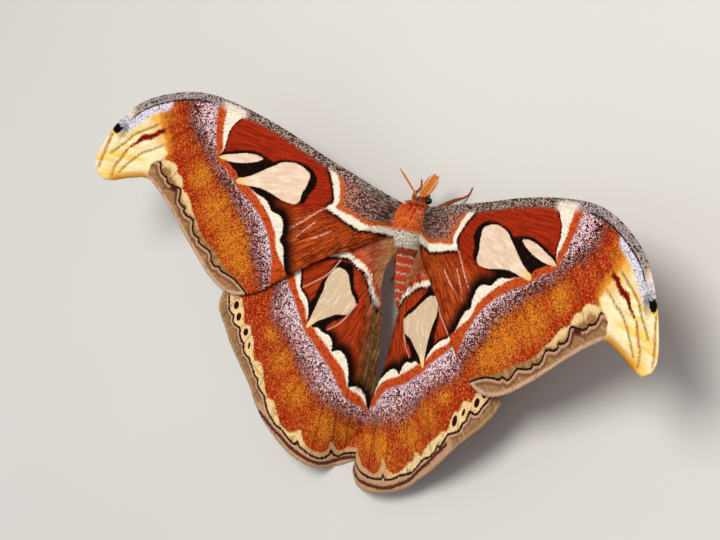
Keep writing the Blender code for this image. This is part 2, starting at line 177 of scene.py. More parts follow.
# Forewing pattern, in plan millimetres
FORE = {
    "am_white": [
        (28, 4.6), (26.4, 2.2), (25.3, -0.4), (24.5, -3), (24.1, -5.6), (24.7, -7.3), (25.4, -7.9),
        (22, -8.9), (18, -9.9), (14, -11.1), (10.5, -11.9), (7, -11.2), (3, -10.6), (-3, -10.2),
        (-3, -13.6), (4, -12.9), (7, -13.4), (11, -13.3), (14.4, -14), (17, -12.9), (20, -12.1),
        (24, -10.4), (27.5, -9.3), (28.6, -9), (26.6, -7), (26.2, -5), (27.2, -2), (28.5, 1), (29.9, 3.2),
        (31.4, 5.4),
    ],
    "window": [
        (38, 1.8), (40.5, 3.2), (43.5, 4.2), (47, 4.3), (50, 3.6), (52.5, 2.2), (55, 0.8), (58, -1.1),
        (61, -2.9), (64, -4.2), (66.5, -4.9), (67.7, -6.1), (66.3, -6.9), (63.5, -7), (60, -6.8), (56, -7),
        (52, -7.9), (48.5, -9), (45.5, -9.8), (41.2, -9.9), (39.7, -9), (39.4, -6), (38.4, -3.5),
        (37.8, -1), (37.6, 0.5),
    ],
    "small_window": [
        (57.5, 3.6), (59.5, 4.3), (63, 4.6), (66, 4.3), (70, 3.4), (74, 2.4), (76.9, 1), (74, 0.5),
        (70, 0.3), (66, 0.7), (63, 1.3), (60, 2.3),
    ],
    "rim": [
        (34.2, -1.5), (35, 1), (37, 3.1), (40, 4.5), (44, 5), (48, 4.9), (51.5, 4.1), (54, 3.4), (57, 4.7),
        (61, 5.6), (66, 5.4), (70, 4.6), (74.2, 3.5), (77, 1.2), (73, 0.2), (70, -1.7), (67.3, -3.6),
        (68.4, -6.2), (66, -7.4), (62, -7.5), (57, -9.1), (54, -9.8), (50, -9.6), (46, -10.2), (41, -10.1),
        (38.6, -9.4), (37.1, -8), (36.5, -5.5), (35, -3.6),
    ],
    "eyespot": [
        (118.8, 4.6), (120.3, 5.2), (121.6, 6.2), (122.4, 5), (123.2, 4), (122.8, 2.5), (121.8, 1.8),
        (120.6, 2.3), (119.6, 3.4),
    ],
    "streak": [
        (100.3, 7.6), (102, 7.4), (104, 6.3), (106.5, 4.6), (109.2, 3.9), (110.6, 3), (112, 1.2),
        (114.4, -1.2), (116.8, -3.9), (114.6, -2.4), (112.6, -1), (110.8, 0.4), (109.3, 1.5), (107, 2),
        (104.8, 3.3), (102.6, 5), (100.5, 5.9),
    ],
    "pm_in": [
        (65.5, 26), (67.6, 18.4), (70.3, 16.4), (72.4, 14.3), (73.9, 11.8), (74.5, 9), (74.6, 6),
        (74.9, 4.2), (75.8, 2.6), (77, 1), (73, 0.1), (70, -1.7), (67.4, -3.6), (66.8, -4.8), (67.9, -6.1),
        (66, -7), (62, -7.1), (60, -7.9), (58, -9.1), (54, -10.3), (52, -11.9), (50, -14.2), (46.6, -15),
        (44.8, -16.6), (44, -19.4), (43.9, -21.6), (44.5, -23.7), (42.9, -25), (41.8, -27), (41.3, -29.5),
        (40.2, -33), (37, -42),
    ],
    "pm_white": [
        (76.4, 26), (76.6, 19), (76.8, 15), (76.7, 11), (76.2, 8), (75.5, 5.6), (75.2, 4.2), (75.9, 2.5),
        (76.9, 1.1), (73, 0.3), (70, -1.5), (67.3, -3.4), (66.6, -4.8), (67.6, -6), (66, -6.8), (62, -6.9),
        (59.6, -8.4), (57.5, -9.9), (54.3, -12.6), (52, -14.6), (50, -17), (48, -19.5), (46.3, -22.5),
        (46, -24.6), (44.6, -27.4), (42.6, -30), (40.5, -32.5), (36, -40),
    ],
    "pm_orange": [
        (81, 26), (80.6, 19), (80.1, 14), (79.4, 10), (78.8, 7), (77.9, 4), (77.7, 2), (77.4, 0.6),
        (76, -0.8), (72, -2.9), (69.6, -5), (68.3, -6.6), (66, -8.4), (62, -10.8), (58, -13.6),
        (55, -16.2), (51.7, -19.6), (49, -23.6), (47, -28), (45.6, -32), (45.2, -36), (44.5, -46),
    ],
    "pink_out": [
        (94, 26), (93.5, 20), (92, 14), (89, 8), (85, 4), (81, 0.5), (77, -4.5), (72, -9), (66, -15),
        (61, -20.5), (57.5, -25), (56, -30), (53, -34), (50.5, -38), (48, -46),
    ],
    "tan_in": [
        (112, -5), (104, -5.4), (101, -4.9), (99, -4.1), (95.5, -4.2), (93, -5.8), (92.7, -8), (90.3, -9),
        (90, -11), (89, -13.5), (87, -14.8), (85, -17), (84.2, -19), (82.3, -21.8), (80.5, -24),
        (79, -26.5), (77, -28.5), (74, -31), (70.5, -33), (68, -35.5), (65, -37.7), (62, -39.6),
        (58, -41.6), (55, -43.5), (50, -48),
    ],
    "wavy": [
        (105, -5.2), (101.2, -4.9), (100.3, -5.6), (100.3, -7.2), (99.4, -9.1), (98, -9.9), (96.8, -10.1),
        (96.6, -11.6), (95.4, -12.4), (93, -12.8), (90.5, -13), (89.7, -13.9), (90, -16), (90, -17.8),
        (88.6, -19.2), (86.6, -19.8), (87.3, -20.9), (86, -22.4), (83.2, -23), (82.2, -23.9), (82, -27),
        (81, -28.7), (78.6, -29.5), (78.5, -31), (76.5, -32), (73.1, -33), (72, -34.4), (71.5, -36.5),
        (70, -38.2), (67.3, -38.1), (66.8, -39.3), (63, -40.1), (60, -41.1), (56.5, -43.2), (54, -45),
    ],
    "lobe": [
        (108.5, 26), (105.5, 14), (103.6, 9), (101.2, 4.6), (99.4, 1), (98.5, -1.5), (98.8, -4),
        (101.5, -4.9), (103.6, -6.4), (104.4, -9), (104.6, -30),
    ],
    "folds": [
        [(103, 9.2), (106, 7.4), (110, 5.2), (114, 2.8), (116.5, 0), (119.5, -2.8), (122.5, -5.6)],
        [(99, 2.2), (102, 0.6), (105, -1.2), (109, -3), (112, -5.5), (115, -8.6), (118, -12.2)],
    ],
    "brown_folds": [
        [(116, -3.4), (118.2, -7.2), (120.2, -10.4), (120.8, -14)],
        [(123.4, 1.4), (124.4, -2.5), (125.8, -7), (127, -12)],
    ],
    "lilac": [
        [(103, 17), (109, 14), (114, 9.8), (118.5, 5.8)],
    ],
    "pale_lines": [
        [(27, -8.4), (30, -9.8), (33, -12.2), (37, -15.6), (41.5, -19)],
        [(31.5, -14.6), (34, -17), (36.5, -19.6), (39, -23)],
        [(24.5, -16.5), (28.5, -19), (33, -21.3)],
    ],
    "dark_lines": [
        [(5, -14.4), (9, -16.2), (14, -19.2), (20, -22.2)],
    ],
    "gold": [(63, -28, 9), (73, -18.5, 8), (59, -35, 6), (82, -7.5, 6), (102, 13, 5), (101, 3, 4)],
    "red": [
        (78, -24, 5), (88, -11, 6), (94, -3, 5), (74, -30, 4), (84.5, -17, 5), (96, 15, 3), (96, 8, 3),
        (91, 9, 2.6), (63, -39, 3),
    ],
}
FORE["am_zone"] = [(38, 14)] + FORE["am_white"][:13:-1] + [(-12, -13.6), (-12, 14)]

# Hindwing pattern, in plan millimetres
HIND = {
    "am_white": [
        (1, -27.5), (4.2, -23.8), (6.2, -20.6), (8, -18.9), (12, -17.2), (16, -15.4), (20, -14.8),
        (24, -15.6), (28, -16.8), (33, -18.8), (39, -21), (39, -22.6), (32, -20.2), (28, -18.5),
        (24, -17.3), (20, -16.9), (17, -16.9), (15, -18.2), (12, -19.4), (9.3, -20.4), (7.3, -22.4),
        (6.6, -24), (4.5, -26.6), (2, -30),
    ],
    "window": [
        (16, -22.4), (18, -21.1), (21.3, -20.8), (22.6, -22), (23.6, -24.2), (24.3, -26), (24.2, -29),
        (24.8, -33), (25.6, -37), (26.5, -40.2), (27.4, -43.9), (26, -43.1), (24, -41.1), (20, -38.7),
        (16, -36.7), (12.6, -36.1), (10.9, -34.2), (9.8, -32.4), (10.4, -30.4), (12.3, -28.4), (13.8, -26),
        (15, -24),
    ],
    "rim": [
        (8.7, -31.2), (9.6, -29), (11.6, -26.8), (12.8, -24.2), (13.8, -21.8), (14.6, -19.8), (16, -18.6),
        (20, -18.2), (22.6, -19.4), (23.6, -21.5), (24.6, -23.6), (25.4, -25.6), (26.4, -29),
        (27.1, -32.5), (28.3, -35), (27.9, -37.5), (27.4, -40), (27.6, -43.8), (26, -43.4), (22.8, -42.9),
        (20, -43.9), (19.2, -41.6), (17.2, -39.6), (14.6, -38.2), (12.6, -36.9), (10.8, -35.2),
        (9.4, -32.8),
    ],
    "pm_in": [
        (41, -14), (37.5, -21), (35.4, -25), (34.6, -28.5), (33.6, -31.2), (31, -33), (29, -35.3),
        (28.2, -37.2), (27, -39.4), (26.6, -41.2), (25.6, -42), (24.4, -41.4), (23, -42.1), (20.5, -43.8),
        (17.5, -44.6), (16, -46), (15.5, -47.6), (15.4, -49.5), (13, -48.6), (11.5, -48.6), (9.5, -50),
        (8.3, -52), (7.4, -54.5), (6.9, -57), (6.4, -59.7), (5, -59.5), (3, -58.8), (1.5, -59.2),
        (0, -60.5), (-1, -62), (-2.3, -65), (-5, -66.5), (-24, -70),
    ],
    "pm_white": [
        (46, -16), (40, -25), (37.8, -26.6), (36.8, -28.6), (35.3, -31.1), (33, -34), (30.5, -36),
        (29, -38), (27.8, -40.4), (26.5, -42.4), (24.5, -42.9), (22, -45), (19, -47), (16.5, -48.9),
        (15.3, -50.1), (13, -51.8), (10, -54), (8, -56.5), (6.7, -59.9), (5.5, -60.4), (3.5, -60.9),
        (1.5, -61.5), (0, -62.6), (-1.3, -63.7), (-2.4, -65.3), (-5, -66.8), (-24, -70.3),
    ],
    "pm_orange": [
        (49, -16), (44, -25), (41.5, -28), (39, -30.7), (37, -33), (34, -36.5), (31.5, -39.5), (29.5, -42),
        (28, -44.5), (26, -46.2), (23, -48.3), (20, -51), (16, -54), (13, -57), (10.5, -60), (8, -62.3),
        (6.3, -64), (4, -64.6), (1.5, -65.2), (-0.5, -65.5), (-2.3, -66.5), (-5, -68), (-24, -71.5),
    ],
    "pink_out": [
        (52, -16), (47, -28), (45, -33), (44.5, -40), (40.5, -45), (38, -47), (33, -51), (28, -57),
        (24, -61), (20, -65), (15, -68), (10, -69), (5, -70.3), (0, -70.6), (-8, -71.5), (-24, -74),
    ],
    "pale_lines": [
        [(20.5, -18), (24.6, -24.2), (28.5, -27.2), (33, -30.2)],
        [(9.3, -31.6), (12, -36.2), (15, -40), (18.6, -42.6)],
    ],
    "dark_lines": [
        [(6.3, -59.5), (6.2, -62), (6.4, -64)],
        [(9.3, -69), (9.4, -76), (9.4, -82)],
    ],
    "gold": [(13.5, -75, 6.5), (26.5, -66.5, 6), (35, -57, 5), (4.5, -75.5, 4), (-6, -78, 5), (41, -49, 3)],
    "red": [(53, -42, 8), (45, -54, 5), (38, -66, 4), (30.5, -76, 3), (20.5, -73, 2.6), (9, -79, 2.4)],
}
HIND["am_zone"] = [(-14, -30)] + HIND["am_white"][:10:-1] + [(60, -30), (60, 20), (-14, 20)]
# The border's lines, which differ from side to side as the wings are worn
HIND_BORDER = {
    "tan_in": {
        "left": [
            (66, -30), (61, -37.5), (57, -39.6), (56.8, -41.5), (55.5, -43), (55, -45), (54.5, -47),
            (53, -48), (50.7, -48), (49.8, -50), (48.5, -51.5), (47.5, -54), (47, -57), (46, -59.2),
            (43.2, -59.6), (41.6, -62), (40.5, -65), (39.5, -68), (38, -70.5), (35.2, -71.2),
            (34.1, -72.6), (33.5, -74.5), (32, -76.5), (30.5, -78.6), (28, -80), (25.5, -79.9),
            (23.5, -78.6), (22.4, -78.2), (21.6, -80.6), (19.6, -83.2), (17.1, -84.2), (14.6, -84.4),
            (12.2, -83.9), (10.8, -82.3), (9.8, -79.6), (8.6, -81), (7.2, -82.2), (5.1, -81.8),
            (2.9, -80.7), (-4, -79), (-24, -78.4),
        ],
        "right": [
            (58, -33), (56.2, -39.7), (55.4, -41.8), (53.1, -43.2), (52.4, -45), (52.4, -46.8),
            (51.1, -46.9), (48.9, -47.3), (48.7, -49.2), (48.7, -51), (46.9, -51.9), (46.4, -54.1),
            (46.1, -56.5), (45.7, -58.6), (43, -59.5), (41.4, -61.2), (39.7, -62.9), (37.3, -65.1),
            (35.3, -67.5), (33.3, -70.4), (29.6, -70.4), (29, -72.9), (25.5, -75), (22.5, -77.8),
            (18.8, -80), (14.5, -81.2), (10.9, -80.3), (8.7, -77.8), (6.5, -81.4), (3.5, -83.7),
            (1.1, -84.6), (-3.7, -84.5), (-7.8, -84.2), (-10.3, -82.4), (-12.4, -79.6), (-24, -70),
        ],
    },
    "wavy": {
        "left": [
            (64.5, -33), (63.8, -38), (63, -40.5), (62, -44), (60.6, -45.3), (59.5, -45.6), (59.2, -47.5),
            (58, -48.8), (55.6, -49.3), (54.9, -50.1), (54.3, -52), (53.2, -53.8), (51.7, -54.3),
            (51.5, -56.5), (50.3, -58), (48.1, -59), (47.8, -60.3), (46, -62), (44.8, -64.3),
            (43.2, -65.1), (42.8, -67.3), (41, -69), (39.5, -70.3), (38.7, -72), (37.5, -74.5),
            (36, -76.5), (35, -77.4), (33, -79), (30.4, -80), (28.2, -81.6), (26.2, -83), (24.3, -83.7),
            (23.1, -82.4), (22.3, -84), (19.9, -85), (17.1, -86), (14.3, -86.5), (11.5, -85.6),
            (10.1, -84.4), (9.5, -82.6), (8.5, -83.9), (6.4, -84.4), (4.2, -83), (1.9, -82.1), (-4, -80.6),
            (-24, -80.6),
        ],
        "right": [
            (61, -33), (59.3, -39.3), (59.3, -41.4), (58.4, -44.1), (57.1, -45.9), (56.1, -48.1),
            (55.6, -49.3), (54.2, -49.8), (52.7, -49.2), (52.4, -51.1), (52.4, -52.7), (51.4, -54.1),
            (51.1, -56), (50.6, -56.9), (48.9, -57.9), (46.2, -59.3), (45.5, -60.7), (44.8, -62.1),
            (42.7, -64.9), (41.6, -64.3), (40.4, -67), (38.1, -69.3), (34.8, -70.9), (32.8, -72.9),
            (30.8, -75.1), (27.9, -77.5), (24.1, -79.1), (20.2, -80.4), (16, -82.5), (11.7, -84),
            (9.5, -84.4), (8.3, -82.9), (7.2, -84.7), (1.8, -86), (-2.1, -86.5), (-6.2, -86.7),
            (-9.5, -86.6), (-12, -86), (-13.6, -84.6), (-14, -82), (-24, -72),
        ],
    },
    "brown_line": {
        "left": [
            (40.7, -76), (37.8, -77.8), (34.1, -80.4), (30.5, -82.3), (27.4, -84.3), (24.4, -85.8),
            (21, -86.9), (17.8, -87.7), (13.7, -88.1), (10.5, -87.2), (8.6, -86.3), (6.3, -85.4),
            (3.6, -84.2), (1.3, -83.3), (-4, -82),
        ],
        "right": [
            (46, -62.6), (43.4, -65.4), (41.1, -67.4), (38.6, -70.2), (36, -72.4), (32.7, -75.1),
            (29.3, -78), (25.5, -80.8), (21.6, -82.5), (17.4, -84.4), (13.1, -86), (7.9, -87.4),
            (2.5, -88.4), (-2.2, -88.9), (-7.1, -89.3), (-12.1, -89.4), (-14.7, -88.4), (-15.5, -86),
        ],
    },
    "spots": {
        "left": [
            (59.3, -42, 1.15, 1.5), (57, -45.8, 1.1, 1.5), (52, -50.4, 1.15, 1.35),
            (49.3, -54.7, 0.5, 1.3),
        ],
        "right": [
            (56.4, -42.5, 1, 1.2), (54.2, -46, 1.1, 1.6), (50.4, -50.6, 0.6, 1.3), (48, -54.3, 1.1, 1.9),
        ],
    },
}

# Points that close off the far side of a line across a wing
FORE_FAR = [(60, -140), (260, -140), (260, 140), (70, 140)]
FORE_BORDER_FAR = {
    "tan_in": [(50, -140), (260, -140), (260, -5)],
    "wavy": [(54, -140), (260, -140), (260, -5.2)],
    "lobe": [(108, -140), (260, -140), (260, 140), (109, 140)],
}
HIND_FAR = [(-24, -140), (160, -140), (160, 20), (60, 20)]

# Body: each station is y, centre height, half-width, rise above the centre, drop below it
HEAD = [
    (5.75, 9.4, 1.0, 1.1, 1.1), (5.4, 9.65, 1.55, 1.75, 1.65), (4.5, 9.9, 2.1, 2.5, 2.2),
    (3.3, 10.3, 2.3, 2.8, 2.4), (2.3, 10.7, 2.2, 2.6, 2.3),
]
NECK = (1.9, 11.2, 2.1, 2.3, 2.2)
THORAX = [
    (1.4, 12.9, 4.7, 4.4, 4.3), (0.2, 13.4, 5.4, 5.3, 4.9), (-2.4, 13.9, 6.0, 6.0, 5.3),
    (-5.2, 14.0, 6.2, 6.2, 5.5), (-7.8, 13.7, 6.0, 6.0, 5.4), (-10.2, 13.1, 5.6, 5.5, 5.0),
    (-12.0, 12.4, 5.1, 5.0, 4.6),
]
ABDOMEN_FRONT_Y = -13.1
ABDOMEN_LENGTH = 22.4
ABDOMEN_SEGMENTS = 7
RINGS_PER_SEGMENT = 4
ABDOMEN_WIDTHS = (4.1, 4.3, 4.1, 3.7, 3.2, 2.5, 0.9)
ABDOMEN_HEIGHT = (11.4, -2.6, -0.8)
ABDOMEN_BELOW = 0.95
HEAD_COAT = 0.55
THORAX_COAT = 1.35
ABDOMEN_COAT = 0.5
BODY_SIDES = 72
BODY_RINGS = 150
EYE_RADIUS = 1.2
EYE_AT = (1.95, 4.0, 10.1)
LEG_RADII = (0.8, 0.9, 0.65, 0.45, 0.32, 0.26)
LEG_RINGS = 64
LEG_SIDES = 16
CLAW_RADIUS = 0.07
LEGS = {
    "front": [(2.4, -0.6, 7.7), (5.6, 2.6, 7.4), (8.8, 6.0, 5.2), (10.2, 8.2, 1.8), (10.8, 9.8, 0.3),
              (11.4, 12.0, 0.28)],
    "middle": [(2.8, -4.6, 7.5), (7.4, -4.2, 7.6), (12.6, -3.4, 5.8), (15.4, -2.6, 1.8), (16.8, -2.2, 0.3),
               (18.8, -1.6, 0.28)],
    "hind": [(2.6, -9.4, 7.4), (6.0, -13.4, 7.2), (9.6, -18.0, 5.2), (11.8, -21.4, 1.7), (12.8, -23.2, 0.3),
             (14.0, -25.0, 0.28)],
}
LEG_NAMES = [(row, hand) for row in LEGS for hand in SIDES]
ANTENNA_BASE = (1.0, 4.7, 13.2)
ANTENNA_LENGTH = 11.5
ANTENNA_AZIMUTH = 46
ANTENNA_ELEVATION = {"left": 12, "right": 22}
ANTENNA_JOINTS = 30
ANTENNA_RADIUS = 0.24
COMB_DIRECTION = {"left": (0.45, -0.20, -0.87), "right": (0.70, -0.355, -0.62)}
COMB_LENGTH = 2.1
COMB_LEAN = 0.42
COMB_ARCH = (0.16, 0.78, 0.7)
COMB_MARGINS = (0.8, 0.4)
BRANCH_TILTS = (-0.12, 0.12)
BRANCH_RADIUS = 0.12

# Coat: numbers of locks, and on the body where from and to, length, width, rise in degrees at root and tip,
# number of clumps, their pull and the locks' disorder
BODY_COAT = [
    ("ruff_pile", 2600, (1.42, 1.9), (1.2, 1.9), (0.18, 0.28), (50, 25), 200, 0.4, 1.2),
    ("head_pile", 7000, (2.2, 5.7), (0.7, 1.1), (0.13, 0.20), (42, 12), 900, 0.3, 0.45),
    ("thorax_pile", 13600, (-6.7, 2.2), (1.8, 2.9), (0.2, 0.34), (48, 12), 290, 0.66, 1.8),
    ("collar_pile", 7400, (-12.6, -6.6), (1.5, 2.1), (0.22, 0.36), (74, 34), 260, 0.6, 1.4),
    ("abdomen_pile", 17000, (-35.4, -13.7), (0.8, 1.25), (0.12, 0.20), (38, 10), 1800, 0.35, 0.5),
]
COAT_SPREAD = 0.10
PALP_LOCKS = 320

# The other coats: number, length or share of the usual length, width, and rise at root and tip
COATS = {
    "face": (900, (0.4, 0.6), (0.12, 0.2), (22, 8)),
    "shoulder": (5200, (2.0, 3.4), (0.16, 0.26), (22, -6)),
    "leg": (1500, (0.8, 1.2), (0.10, 0.16), (24, 4)),
    "hair": (26000, (0.7, 1.2), (0.14, 0.24), (10, 1)),
    "fringe": (1500, (0.45, 0.8), (0.18, 0.28), (2, 0)),
}
SHOULDER_CLUMPS = 260
MARGIN = 0.999
FRINGE_OVERLAP = 0.1
LEG_HAIR_LENGTHS = ([0, 0.5, 0.75, 1], [1.5, 1.1, 0.5, 0.35])

# Places in the coats' and skins' bake maps: left, width, bottom and height
BODY_PATCH = (0.01, 0.58, 0.01, 0.97)
WING_PATCH = (0.01, 0.98, 0.01, 0.48)
LEG_PATCHES = [(0.62 + 0.06 * order, 0.05, 0.01, 0.97) for order in range(len(LEG_NAMES))]
LEGS_FROM = 0.6
LOCK_PATCH = 0.0015 * np.array([(-1, -1), (0, -0.6), (1, -1), (-1, 0.4), (0, 0.4), (1, 0.4), (0, 1)])

# Colours as display values, and how dull scales and hair are
DEEP_RED = (152, 38, 14)
BROWN_RED = (146, 48, 16)
RUST = (202, 92, 32)
BLACK = (20, 8, 6)
DARK_BROWN = (58, 18, 10)
CREAM_WHITE = (246, 234, 212)
PM_ORANGE = (206, 84, 30)
PINK = (238, 206, 212)
LILAC_GREY = (104, 80, 84)
SPECK = (30, 12, 12)
FIELD_ORANGE = (182, 62, 18)
GOLD = (220, 130, 30)
FIELD_RED = (172, 34, 10)
TAN = (156, 112, 72)
CREAM = (238, 206, 146)
OLIVE = (140, 102, 48)
YELLOW = (246, 210, 112)
PALE_YELLOW = (250, 232, 184)
WINDOW = (230, 200, 172)
GREY_BROWN = (104, 80, 66)
BASAL = (92, 58, 50)
UNDERSIDE = (186, 124, 96)
# Painted shade, multiplied in where single scales meet
SCALE_GAP_SHADE = (0.30, 0.26, 0.25, 1)
DULL = 0.85
DULL_SHINE = 0.03


def smooth(x):
    x = np.clip(x, 0.0, 1.0)
    return x * x * (3 - 2 * x)


def unit(vectors):
    return vectors / np.maximum(np.linalg.norm(vectors, axis=-1, keepdims=True), 1e-9)


def clear_of(vectors, direction, share=1.0):
    """The vectors without their part, or a share of it, along a direction."""
    return vectors - direction * (vectors * direction).sum(axis=1)[:, None] * share


def pairs(first, second):
    """Every pair of two lists of shares, as two flat arrays."""
    return [a.ravel() for a in np.meshgrid(first, second, indexing="ij")]


def in_patch(patch, x, y):
    """Bake map places for shares of a patch's width and height."""
    left, width, bottom, height = patch
    return np.column_stack([left + width * x, bottom + height * y])


def spline(points, fractions):
    """A smooth curve through the points, read at fractions of its length."""
    p = np.asarray(points, float)
    knots = np.concatenate([[0], np.cumsum(np.linalg.norm(np.diff(p, axis=0), axis=1) ** 0.5)])
    slopes = np.gradient(p, knots, axis=0)

    def at(q):
        i = np.clip(np.searchsorted(knots, q, side="right") - 1, 0, len(knots) - 2)
        h = (knots[i + 1] - knots[i])[:, None]
        x = (q - knots[i])[:, None] / h
        start = (2 * x ** 3 - 3 * x ** 2 + 1) * p[i] + (x ** 3 - 2 * x ** 2 + x) * h * slopes[i]
        return start + (3 * x ** 2 - 2 * x ** 3) * p[i + 1] + (x ** 3 - x ** 2) * h * slopes[i + 1]

    fine = np.linspace(0, knots[-1], 600)
    steps = np.linalg.norm(np.diff(at(fine), axis=0), axis=1)
    along = np.concatenate([[0], np.cumsum(steps)])
    return at(np.interp(np.asarray(fractions, float) * along[-1], along, fine))


def turn(axis, angle):
    c, s = math.cos(angle), math.sin(angle)
    rows = {
        "x": [[1, 0, 0], [0, c, -s], [0, s, c]],
        "y": [[c, 0, s], [0, 1, 0], [-s, 0, c]],
        "z": [[c, -s, 0], [s, c, 0], [0, 0, 1]],
    }
    return np.array(rows[axis])


def kind_and_hand(name):
    """Which pair of wings a wing is of, fore or hind, and its side."""
    wing, hand = name.split("_")
    return wing[:4], hand


def plan_of(name):
    kind, hand = kind_and_hand(name)
    if kind == "fore":
        return FORE_PLAN
    return {key: line if key == "base" else line[hand] for key, line in HIND_PLAN.items()}


def plan_points(plan, s, t):
    """Plan position for each pair s, t: s runs from the base to the margin, t from the costa back."""
    costa, inner = spline(plan["costa"], s), spline(plan["inner"], s)
    base, outer = spline(plan["base"], t), spline(plan["outer"], t)
    s, t = s[:, None], t[:, None]
    corners = (1 - s) * ((1 - t) * np.array(plan["base"][0]) + t * np.array(plan["base"][-1]))
    corners = corners + s * ((1 - t) * np.array(plan["outer"][0]) + t * np.array(plan["outer"][-1]))
    return (1 - t) * costa + t * inner + (1 - s) * base + s * outer - corners


def held(uv, name):
    """The plan bent, twisted and turned into the pose of the named wing, as for a right wing."""
    kind, _ = kind_and_hand(name)
    sweep, dihedral, pitch, bend, curl, twist, camber = np.radians(POSE[name])
    length = SPAN[kind]
    u, v = uv[:, 0], uv[:, 1]
    s = u / length
    sag = -camber * v * v / length / 2
    angle = twist * s
    forward = v * np.cos(angle) - sag * np.sin(angle)
    up = v * np.sin(angle) + sag * np.cos(angle)
    arc = bend * s + curl * s * s
    shortening = bend ** 2 * s ** 3 / 3 + bend * curl * s ** 4 / 2 + curl ** 2 * s ** 5 / 5
    out = u - length / 2 * shortening + up * np.sin(arc)
    rise = -length * (bend * s * s / 2 + curl * s ** 3 / 3) + up * np.cos(arc)
    points = np.stack([out, forward, rise], axis=1)
    matrix = turn("z", sweep) @ turn("y", -dihedral) @ turn("x", pitch)
    return points @ matrix.T + np.array(WING_BASE[kind])


def rear_corner(uv, amount, rearward, rear_run, inward, in_run):
    """An amount that is reached towards a hindwing's rear inner corner."""
    return amount * smooth((-uv[:, 1] - rearward) / rear_run) * smooth((inward - uv[:, 0]) / in_run)


def hindwing_moves(name, uv):
    """How far a hindwing's rear lobe is let down or raised, and how far its front lies under the forewing."""
    kind, hand = kind_and_hand(name)
    if kind == "fore":
        return np.zeros(len(uv)), np.zeros(len(uv))
    depth, start, run = TUCK[hand]
    outward = smooth((uv[:, 0] - TUCK_FROM) / TUCK_RUN)
    tuck = depth * outward * smooth((uv[:, 1] + TUCK_SLOPE * uv[:, 0] + start) / run)
    return rear_corner(uv, *LOBE_LIFT[hand]), tuck


def wing_surface(name, s, t):
    """Plan and space positions of the wing's middle surface for each pair s, t."""
    kind, hand = kind_and_hand(name)
    side = SIDES[hand]
    plan = plan_of(name)
    front, rear = np.array(HINGE[kind][0]), np.array(HINGE[kind][1])
    uv = plan_points(plan, s, t)
    points = held(uv, name)
    lift, tuck = hindwing_moves(name, uv)
    points[:, 2] -= tuck
    moved = np.maximum(lift, FLOOR_CLEARANCE - points[:, 2])
    points = points + moved[:, None] * np.array([LEAN * side, 0, 1])
    base_uv = plan_points(plan, np.zeros(len(t)), t)
    hinge = front + (rear - front) * t[:, None]
    hold = (1 - smooth(s / HINGE_BLEND))[:, None]
    points = points + hold * (hinge - held(base_uv, name))
    return uv, points * np.array([side, 1, 1])


def line_distance(uv, line):
    """Distance from each plan point to an open line."""
    best = np.full(len(uv), 1e9)
    line = np.asarray(line, float)
    for a, b in zip(line, line[1:]):
        step = b - a
        share = np.clip(((uv - a) @ step) / max(step @ step, 1e-9), 0, 1)
        gap = uv - a - share[:, None] * step
        best = np.minimum(best, (gap * gap).sum(axis=1))
    return np.sqrt(best)


def inside(uv, ring):
    """True for each plan point within a closed ring."""
    odd = np.zeros(len(uv), bool)
    u, v = uv[:, 0], uv[:, 1]
    for (u0, v0), (u1, v1) in zip(ring, np.roll(ring, -1, axis=0)):
        if v0 != v1:
            odd ^= ((v0 > v) != (v1 > v)) & (u < u0 + (v - v0) * (u1 - u0) / (v1 - v0))
    return odd


def shape_distance(uv, ring):
    """Distance to a closed shape's edge, negative inside it."""
    ring = spline(ring + ring[:1], np.linspace(0, 1, 4 * len(ring) + 4))
    return np.where(inside(uv, ring), -1, 1) * line_distance(uv, ring)


def past_line(uv, line, far, rounded=True):
    """Distance to a line across the wing, positive on its outer side, which the far points close off."""
    if rounded:
        line = spline(line, np.linspace(0, 1, 3 * len(line)))
    ring = np.concatenate([np.asarray(line, float), np.asarray(far, float)])
    return np.where(inside(uv, ring), 1, -1) * line_distance(uv, line)


def nearest_line(uv, lines):
    return np.min([line_distance(uv, spline(line, np.linspace(0, 1, 24))) for line in lines], axis=0)


def blobs(uv, places):
    """A soft field of 1 at the middle of each place, falling off over its radius."""
    total = np.zeros(len(uv))
    for u, v, radius in places:
        total = np.maximum(total, np.exp(-((uv[:, 0] - u) ** 2 + (uv[:, 1] - v) ** 2) / radius ** 2 * 0.8))
    return total


def shared_marks(uv, lines, far):
    """Distances from the markings that fore- and hindwing have alike, in plan millimetres."""
    marks = {key: shape_distance(uv, lines[key]) for key in ("am_white", "am_zone", "window", "rim")}
    for key in ("pm_in", "pm_white", "pm_orange", "pink_out"):
        marks[key] = past_line(uv, lines[key], far)
    for key in ("pale_lines", "dark_lines"):
        marks[key] = nearest_line(uv, lines[key])
    for key in ("gold", "red"):
        marks[key] = blobs(uv, lines[key])
    return marks


def fore_marks(uv):
    marks = shared_marks(uv, FORE, FORE_FAR)
    marks["window"] = np.minimum(marks["window"], shape_distance(uv, FORE["small_window"]))
    marks["costa"] = line_distance(uv, spline(FORE_PLAN["costa"], np.linspace(0, 1, 60)))
    for key in ("eyespot", "streak"):
        marks[key] = shape_distance(uv, FORE[key])
    for key in ("folds", "brown_folds", "lilac"):
        marks[key] = nearest_line(uv, FORE[key])
    for key, far in FORE_BORDER_FAR.items():
        marks[key] = past_line(uv, FORE[key], far, rounded=key != "wavy")
    return marks


def hind_marks(hand, border, uv):
    """The hindwing's distances: those of the border are taken where it lies itself."""
    lines = {key: line[hand] for key, line in HIND_BORDER.items()}
    marks = shared_marks(uv, HIND, HIND_FAR)
    for key in ("tan_in", "wavy"):
        marks[key] = past_line(border, lines[key], HIND_FAR, rounded=key != "wavy")
    marks["brown_line"] = nearest_line(border, [lines["brown_line"]])
    spots = [np.hypot((border[:, 0] - u) / a, (border[:, 1] - v) / b) for u, v, a, b in lines["spots"]]
    marks["spots"] = np.min(spots, axis=0)
    return marks


